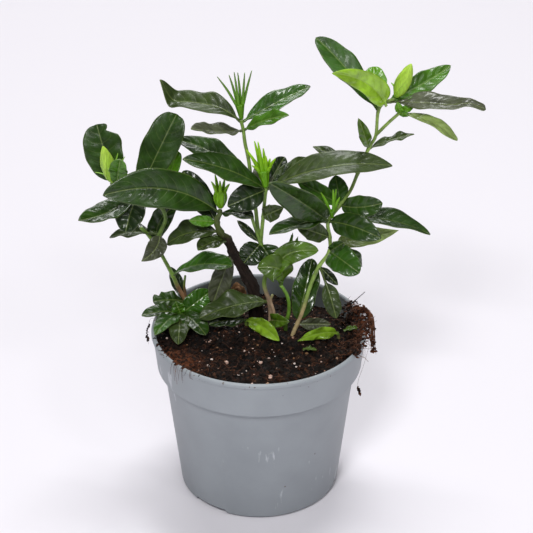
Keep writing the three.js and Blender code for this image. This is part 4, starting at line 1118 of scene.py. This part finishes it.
# ---- right shoot ----------------------------------------------------------------------------------
# The cutting that climbs to the upper right, with a bud at its tip and leaves almost all the way down.
grow(
    "shoot_right", wood="#B09C70", green="#84A04C", woody_to=121,
    limbs=[
        dict(foot=1.3, end=0.9, path=[
            (20, 0, 88), (20, 0, 100), (23, 2, 108), (26, 4, 115), (31, 8, 132), (36, 11, 143),
            (42, 13, 152), (42, 14, 161), (41, 15, 171), (48, 17, 181), (54, 19, 190),
            (58, 21, 200), (64, 23, 215), (68, 24, 223), (69, 25, 238), (73, 24, 244),
            (78, 22.5, 246.5),
        ]),
        dict(foot=1.0, end=0.9, path=[(68, 24, 223), (75, 22, 232), (81, 20, 239)]),
    ],
    leaves=[
        dict(
            at=(0, 8), tip=(6, -28, 218), width=18, face=(0, -1, 0.15), arch=3, sway=-2, fold=16,
            taper=1.1,
        ),
        dict(at=(0, 8), tip=(6, -14, 178), width=14, face=UPWARD, arch=2, fold=16),
        dict(at=(0, 9), tip=(72, 6, 188), width=14, arch=3, sway=-2, taper=1.2),
        dict(at=(0, 8), tip=(101, 8, 166), width=17, face=UPWARD, arch=7, fold=16, stalk=0.12),
        dict(at=(0, 8), tip=(71, -8, 172), width=16, arch=4, sway=1.5),
        dict(at=(0, 7), tip=(22, 0, 176), width=12, arch=1, tone="olive"),
        dict(at=(0, 6), tip=(50, 4, 163), width=7, arch=1, fold=11),
        dict(at=(0, 6), tip=(59, -8, 149), width=17, arch=4, fold=11, taper=1.1, tone="green"),
        dict(at=(0, 6), tip=(62, 20, 138), width=10, face=(0.3, -0.5, 0.8), arch=5),
        dict(at=(0, 5), tip=(47, 4, 134), width=6, arch=1, fold=11, tone="dark"),
        dict(at=(0, 2), tip=(32, 22, 142), width=16, arch=2, fold=16, taper=1.1, wax=0.9),
        dict(
            at=(0, 5), tip=(46, -8, 118), width=11, face=(0.2, -0.9, 0.2), arch=4, fold=11,
            stalk=0.35, tone="olive",
        ),
        dict(at=(0, 9), tip=(22, 12, 200), width=11, arch=1, tone="lively"),
        dict(at=(0, 9), tip=(45, 24, 197), width=12, arch=1, fold=11, tone="green"),
        dict(at=(0, 11), tip=(32, 36, 210), width=9, face=UPWARD, arch=2, fold=11, tone="olive"),
        dict(at=(0, 12), tip=(57, 12, 239), width=7, arch=2, fold=16, tone="soft"),
        dict(at=(0, 12), tip=(91, 32, 220), width=7, face=UPWARD, arch=1, fold=16, tone="olive"),
        dict(
            at=(0, 14), tip=(33, 48, 274), width=17, face=(0.4, -0.8, 0.5), arch=3, sway=-0.5,
            belly=0.58, tone="green", wax=0.05,
        ),
        dict(at=(0, 14), tip=(67, 50, 255), width=14, arch=2, fold=11, taper=1, tone="fresh"),
        dict(
            at=(0, 15), tip=(111, 40, 260), width=13, face=STEEP, arch=2, sway=-2, tone="lively",
            wax=0.25,
        ),
        dict(
            at=(0, 15), tip=(129, 10, 245), width=16, face=(0, -0.3, 1), arch=2, belly=0.43,
            taper=3.2, tail=6.5, dip=(0.84, -3), tone="grey",
        ),
        dict(
            at=(1, 2), tip=(114, 8, 228), width=10, face=UPWARD, arch=3, belly=0.6, wave=0.3,
            dip=(0.9, 1.5), tone="pale", under="pale",
        ),
        dict(at=(1, 2), tip=(89, 18, 245), width=5, arch=1, tone="fresh"),
        dict(at=(1, 2), tip=(79, 17, 247), width=5, arch=1, tone="fresh"),
        dict(at=(1, 2), tip=(86, 16, 239), width=4, arch=1, tone="lively"),
        dict(at=(0, 2), tip=(43, 0, 109), width=8, fold=12, tone="grey"),
    ],
)


# ---- young shoot ----------------------------------------------------------------------------------
# A soft new shoot near the middle, still bright green, with two bent leaves and two furled ones.
grow(
    "shoot_young", wood="#5F7F34", green="#6F9A36", woody_to=100, slot="young_leaf",
    limbs=[
        dict(foot=1.4, end=1, path=[
            (16, 8, 88), (16, 8, 103), (18, 6, 115), (17, 4, 126), (13, 4, 134),
        ]),
    ],
    leaves=[
        dict(
            at=(0, 4), tip=(-1, 0, 148), width=17, arch=5, sway=-7, fold=9, belly=0.55, wave=1.6,
            tone="moss", under="soft",
        ),
        dict(
            at=(0, 4), tip=(35, 3, 158), width=13, arch=6, sway=11, fold=11, belly=0.6, wave=1.6,
            tone="soft", under="soft",
        ),
        dict(at=(0, 4), tip=(20, 12, 165), width=3.5, fold=14, tone="fresh"),
        dict(at=(0, 4), tip=(23, 9, 164), width=3.5, fold=14, tone="fresh"),
    ],
)


# ---- sprouts --------------------------------------------------------------------------------------
# Two short new sprouts at the front of the peat, with soft bright leaves bent over it.
grow(
    "sprout_front", wood="#6E5A3C", green="#6F9A36", woody_to=104, slot="young_leaf",
    limbs=[
        dict(foot=1.2, end=0.9, path=[(-8, 9, 88), (-8, 9, 104), (-8, 8, 107)]),
    ],
    leaves=[
        dict(
            at=(0, 2), tip=(12, -14, 106), width=10, arch=2, sway=2, fold=20, wave=2.4, tone="bright",
            under="bright",
        ),
        dict(at=(0, 2), tip=(-30, -2, 110), width=12, face=SLOPING, arch=2, tone="dark"),
    ],
)
grow(
    "sprout_right", wood="#6E5A3C", green="#6F9A36", woody_to=102, slot="young_leaf",
    limbs=[
        dict(foot=1.2, end=0.9, path=[(48, 0, 88), (48, 0, 100), (47, -2, 104)]),
    ],
    leaves=[
        dict(
            at=(0, 2), tip=(23, -16, 107), width=8, arch=2, sway=-2, fold=20, wave=2.4, belly=0.35,
            tone="bright", under="bright",
        ),
    ],
)


# ---- torn leaf bits -------------------------------------------------------------------------------
# Two small torn bits of leaf lie loose on the peat, one in front of the middle and one near the right
# side of the lip.
TORN_BITS = [((51, -1, 105), (60, 2, 105), 4), ((26, -23, 105.5), (34, -23, 105), 3.5)]

bm = foliage()
for foot, tip, width in TORN_BITS:
    add_leaf(bm, foot, tip, width, face=UPWARD, arch=1, wave=0.5, tone="moss", under="moss")
dress(bm, "torn_leaf_bits", cuticle, [])


# ---- rosette --------------------------------------------------------------------------------------
# A low cutting at the left of the pot with a ring of small glossy leaves close to the peat.
grow(
    "rosette", wood="#5A4A30", green="#4F6B30", woody_to=102,
    limbs=[
        dict(foot=1.6, end=1.3, path=[(-48, 18, 88), (-48, 18, 102), (-48, 17, 106)]),
    ],
    leaves=[
        dict(
            at=(0, 2), tip=(-30, 24, 118), width=14, face=(0.2, -0.8, 0.6), arch=2, taper=1.1,
            tone="green", wax=0.9,
        ),
        dict(at=(0, 2), tip=(-51, 17, 115), width=9, arch=1, fold=14, tone="lively", wax=0.9),
        dict(at=(0, 2), tip=(-71, 5, 112), width=11, face=SLOPING, arch=3, wax=0.9),
        dict(at=(0, 2), tip=(-62, -14, 110), width=12, face=UPWARD, arch=3, fold=11, tone="green"),
        dict(at=(0, 2), tip=(-32, -9, 107), width=14, face=UPWARD, arch=3, fold=11, taper=1.1, wax=0.5),
        dict(at=(0, 2), tip=(-48, -18, 106), width=13, face=UPWARD, arch=3, taper=1.1, tone="olive"),
    ],
)


# ---- young leaves ---------------------------------------------------------------------------------
# Three leaves that are still soft and bright, each set apart beside the dark shoot that bore it.
YOUNG_LEAVES = {
    "young_leaf_top": dict(
        base=(73.4, 21.7, 242.4), tip=(41, 2, 271), width=15, arch=2, sway=-5, fold=17, taper=1.1,
        belly=0.3, tone="lime", under="lime", wax=0.7,
    ),
    "young_leaf_back": dict(
        base=(44, 16, 156), tip=(84, 30, 157), width=12, face=STEEP, arch=2, sway=-1, belly=0.35,
        tone="pale", under="pale",
    ),
    "young_leaf_left": dict(
        base=(-82.5, 6.5, 199.5), tip=(-79, -1, 219.5), width=11, fold=16, taper=1, belly=0.6,
        tone="lively", under="lively",
    ),
}
for name, leaf in YOUNG_LEAVES.items():
    bm = foliage()
    add_leaf(bm, **leaf)
    dress(bm, f"{name}_blade", cuticle, [name])


# ---- calyxes --------------------------------------------------------------------------------------
# Where a flower was or will be, a ribbed green cup stands at the stem's tip with narrow, pointed,
# keeled lobes. base is its foot, cup the length of the cup, and each lobe tip is given from the foot.
CALYXES = {
    "calyx_top": dict(
        base=(-10, 19.6, 235.4), cup=9, radius=2.5, half=0.8, bulge=0, foot="#5C9014", tip="#668040",
        lobes=[
            (-13.5, -2, 27), (-7, 3, 26), (-4, -1, 29.5), (-2, 3, 27.5), (2, -2, 29.5), (6, 1, 29.5),
        ],
    ),
    "calyx_centre": dict(
        base=(4, 3.6, 199.8), cup=11, radius=3.4, half=1.1, bulge=0, foot="#649C06", tip="#98CC20",
        lobes=[
            (-11, -2, 24.5), (-8.5, 1, 19), (-6.5, 1, 28.5), (-4.5, -2, 29.5), (-2, -1, 19),
            (0, -3, 21), (-1.5, 3, 23), (2.5, 2, 17), (5.5, 0, 18), (3, -3, 14), (-8, -3, 15),
        ],
    ),
    "calyx_left": dict(
        base=(-22.6, 10.6, 182.6), cup=11, radius=3.7, half=1.0, bulge=1, foot="#6A9C06", tip="#92C81C",
        lobes=[(-5, -2, 18), (-3, 3, 20), (0, -3, 19), (2.5, 3, 17), (5.5, -1, 16)],
    ),
    "calyx_low": dict(
        base=(-5, 10, 179.5), cup=3, radius=1.2, half=0.5, bulge=0, foot="#46760E", tip="#669C1C",
        lobes=[(-6.5, -1, 4), (-4, 2, 8), (-2, -1, 9), (0.5, 1, 9)],
    ),
    "calyx_right": dict(
        base=(43, 8.7, 176.8), cup=5, radius=1.8, half=0.95, bulge=0, foot="#568C0C", tip="#7CB424",
        lobes=[(-6, -5, 11), (-7, -3, 18), (0, -3, 20), (2, 2, 18), (4, -1, 14)],
    ),
}
CUP_RIBS = 6
RIB_RISE = 0.13  # how far the ribs stand out, as a share of the cup's radius
LOBE_FLATNESS = 0.55
LOBE_NARROWING = 0.72  # how much thinner a lobe is at its tip
LOBE_KEEL = 0.15


def tinted(bm, verts, foot, tip, shares):
    """Colours the vertices from the foot's colour to the tip's by each one's share of the way."""
    tint = bm.verts.layers.float_color["tint"]
    low, high = Vector(rgb(foot)), Vector(rgb(tip))
    for vert, share in zip(verts, shares):
        vert[tint] = low.lerp(high, min(1, max(0, share)))


def add_lobe(bm, root, tip, half, foot, end):
    """A narrow keeled lobe that bends a little on its way from its root to its tip, in mm."""
    def girth(t, turn):
        return half * (1 - LOBE_NARROWING * t ** 2.5) * (1 + LOBE_KEEL * math.cos(turn * 3))

    middle = (root + tip) / 2 + Vector((0, 0, 1))
    lobe = add_rod(bm, [root, middle, tip], girth, 12, 22, LOBE_FLATNESS)
    height = tip.z - root.z
    tinted(bm, lobe, foot, end, [((v.co.z / MM) - root.z) / height for v in lobe])


flesh, tree, surface = material("soft green calyx flesh")
# Calyx and bud flesh is soft and a little translucent, with a faint bloom and fine lines along it.
spot = add(tree, "TexCoord").outputs["Object"]
tint = add(tree, "Attribute", attribute_name="tint")
stretch = add(tree, "Mapping", {"Vector": spot, "Scale": (1, 1, 0.2)})
line = add(tree, "TexNoise", {"Vector": stretch, "Scale": 1 / (0.8 * MM), "Detail": 3})
lighter = add(tree, "MapRange", {
    "Value": line, "From Min": 0.3, "From Max": 0.7, "To Min": 0.8, "To Max": 1.2,
})
lined = add(tree, "VectorMath", {0: tint.outputs["Color"], 3: lighter}, operation="SCALE")
relief = add(tree, "Bump", {"Height": line, "Strength": 0.3, "Distance": 0.2 * MM})
feed(tree, surface, {
    "Base Color": lined, "Normal": relief, "Roughness": 0.42, "Specular IOR Level": 0.35,
    "Subsurface Weight": 0.12, "Subsurface Radius": (0.6, 1.0, 0.2), "Subsurface Scale": 1.5 * MM,
})

for name, calyx in CALYXES.items():
    bm = foliage()
    base = Vector(calyx["base"])
    reach = sum((Vector(lobe) for lobe in calyx["lobes"]), Vector()).normalized()
    radius, cup, bulge = calyx["radius"], calyx["cup"], calyx["bulge"]

    def cup_radius(t, turn):
        """The cup widens from its foot, evenly or with a bulge."""
        widened = 0.4 + 0.6 * t * (1 - bulge) + 0.6 * bulge * math.sin(0.8 * math.pi * t)
        return radius * widened * (1 + RIB_RISE * math.cos(CUP_RIBS * turn))

    shell = add_rod(bm, [base, base + reach * cup / 2, base + reach * cup], cup_radius, 48, 20)
    tinted(bm, shell, calyx["foot"], calyx["foot"], [0] * len(shell))
    for lobe in calyx["lobes"]:
        tip = base + Vector(lobe)
        root = base + reach * cup * 0.8
        lean = tip - root
        lean = (lean - reach * lean.dot(reach)).normalized()
        add_lobe(bm, root + lean * radius * 0.55, tip, calyx["half"], calyx["foot"], calyx["tip"])
    dress(bm, f"{name}_flesh", flesh, [name])


# ---- buds -----------------------------------------------------------------------------------------
# A gardenia bud is a furled spiral of petals, pale yellow-green, over a short calyx with thin sepals.
# Each petal overlaps the next, and its edge winds up round the bud.
BUDS = {
    "bud_left": dict(
        base=(-85, 10.5, 198.8), tip=(-89, 4, 225.5), radius=4.4,
        sepals=[(-10, 0, 7), (7.5, 2, 16), (3.5, 2, 18)],
    ),
    "bud_right": dict(
        base=(78.7, 22.3, 247.4), tip=(86.5, 20, 269.5), radius=4.6,
        sepals=[(1, -3, 12), (5, 1, 13), (-3, 1, 9)],
    ),
}
BUD_TURN = 1.6  # radians that the furled petals wind from foot to tip
PETALS = 5
PETAL_STEP = 0.16  # how far a petal's edge stands off, as a share of the bud's radius
BUD_FOOT = "#74A81C"
BUD_TIP = "#B2D64C"
SEPAL_TIP = "#8DBB4A"
SEPAL_HALF = 0.7

for name, bud in BUDS.items():
    bm = foliage()
    base, axis = Vector(bud["base"]), Vector(bud["tip"]) - Vector(bud["base"])
    right = (Vector((1, 0, 0)) - axis * axis.x / axis.length_squared).normalized()
    ahead = axis.normalized().cross(right)
    body = bmesh.ops.create_grid(bm, x_segments=60, y_segments=100, size=1)["verts"]
    shares = []
    tint = bm.verts.layers.float_color["tint"]
    low, high = Vector(rgb(BUD_FOOT)), Vector(rgb(BUD_TIP))
    for vert in body:
        t, angle = (vert.co.x + 1) / 2, math.pi * (vert.co.y + 1)
        lap = (PETALS * angle / (2 * math.pi)) % 1
        profile = max(0, math.sin(math.pi * t ** 0.85)) ** 0.7
        girth = bud["radius"] * profile * (1 - PETAL_STEP * (1 - lap) ** 2)
        wound = angle + BUD_TURN * t
        point = base + axis * t + right * girth * math.cos(wound) + ahead * girth * math.sin(wound)
        vert.co = point * MM
        # Paler towards the tip; each petal is also painted darker where it tucks under the next, as
        # painted shade in the gaps between petals.
        vert[tint] = low.lerp(high, min(1, 0.25 + 0.6 * t + 0.25 * lap))
    bmesh.ops.remove_doubles(bm, verts=body, dist=0.002 * MM)
    foot = base + axis * 0.1
    for sepal in bud["sepals"]:
        add_lobe(bm, foot, base + Vector(sepal), SEPAL_HALF, BUD_FOOT, SEPAL_TIP)
    dress(bm, f"{name}_petals", flesh, [name])
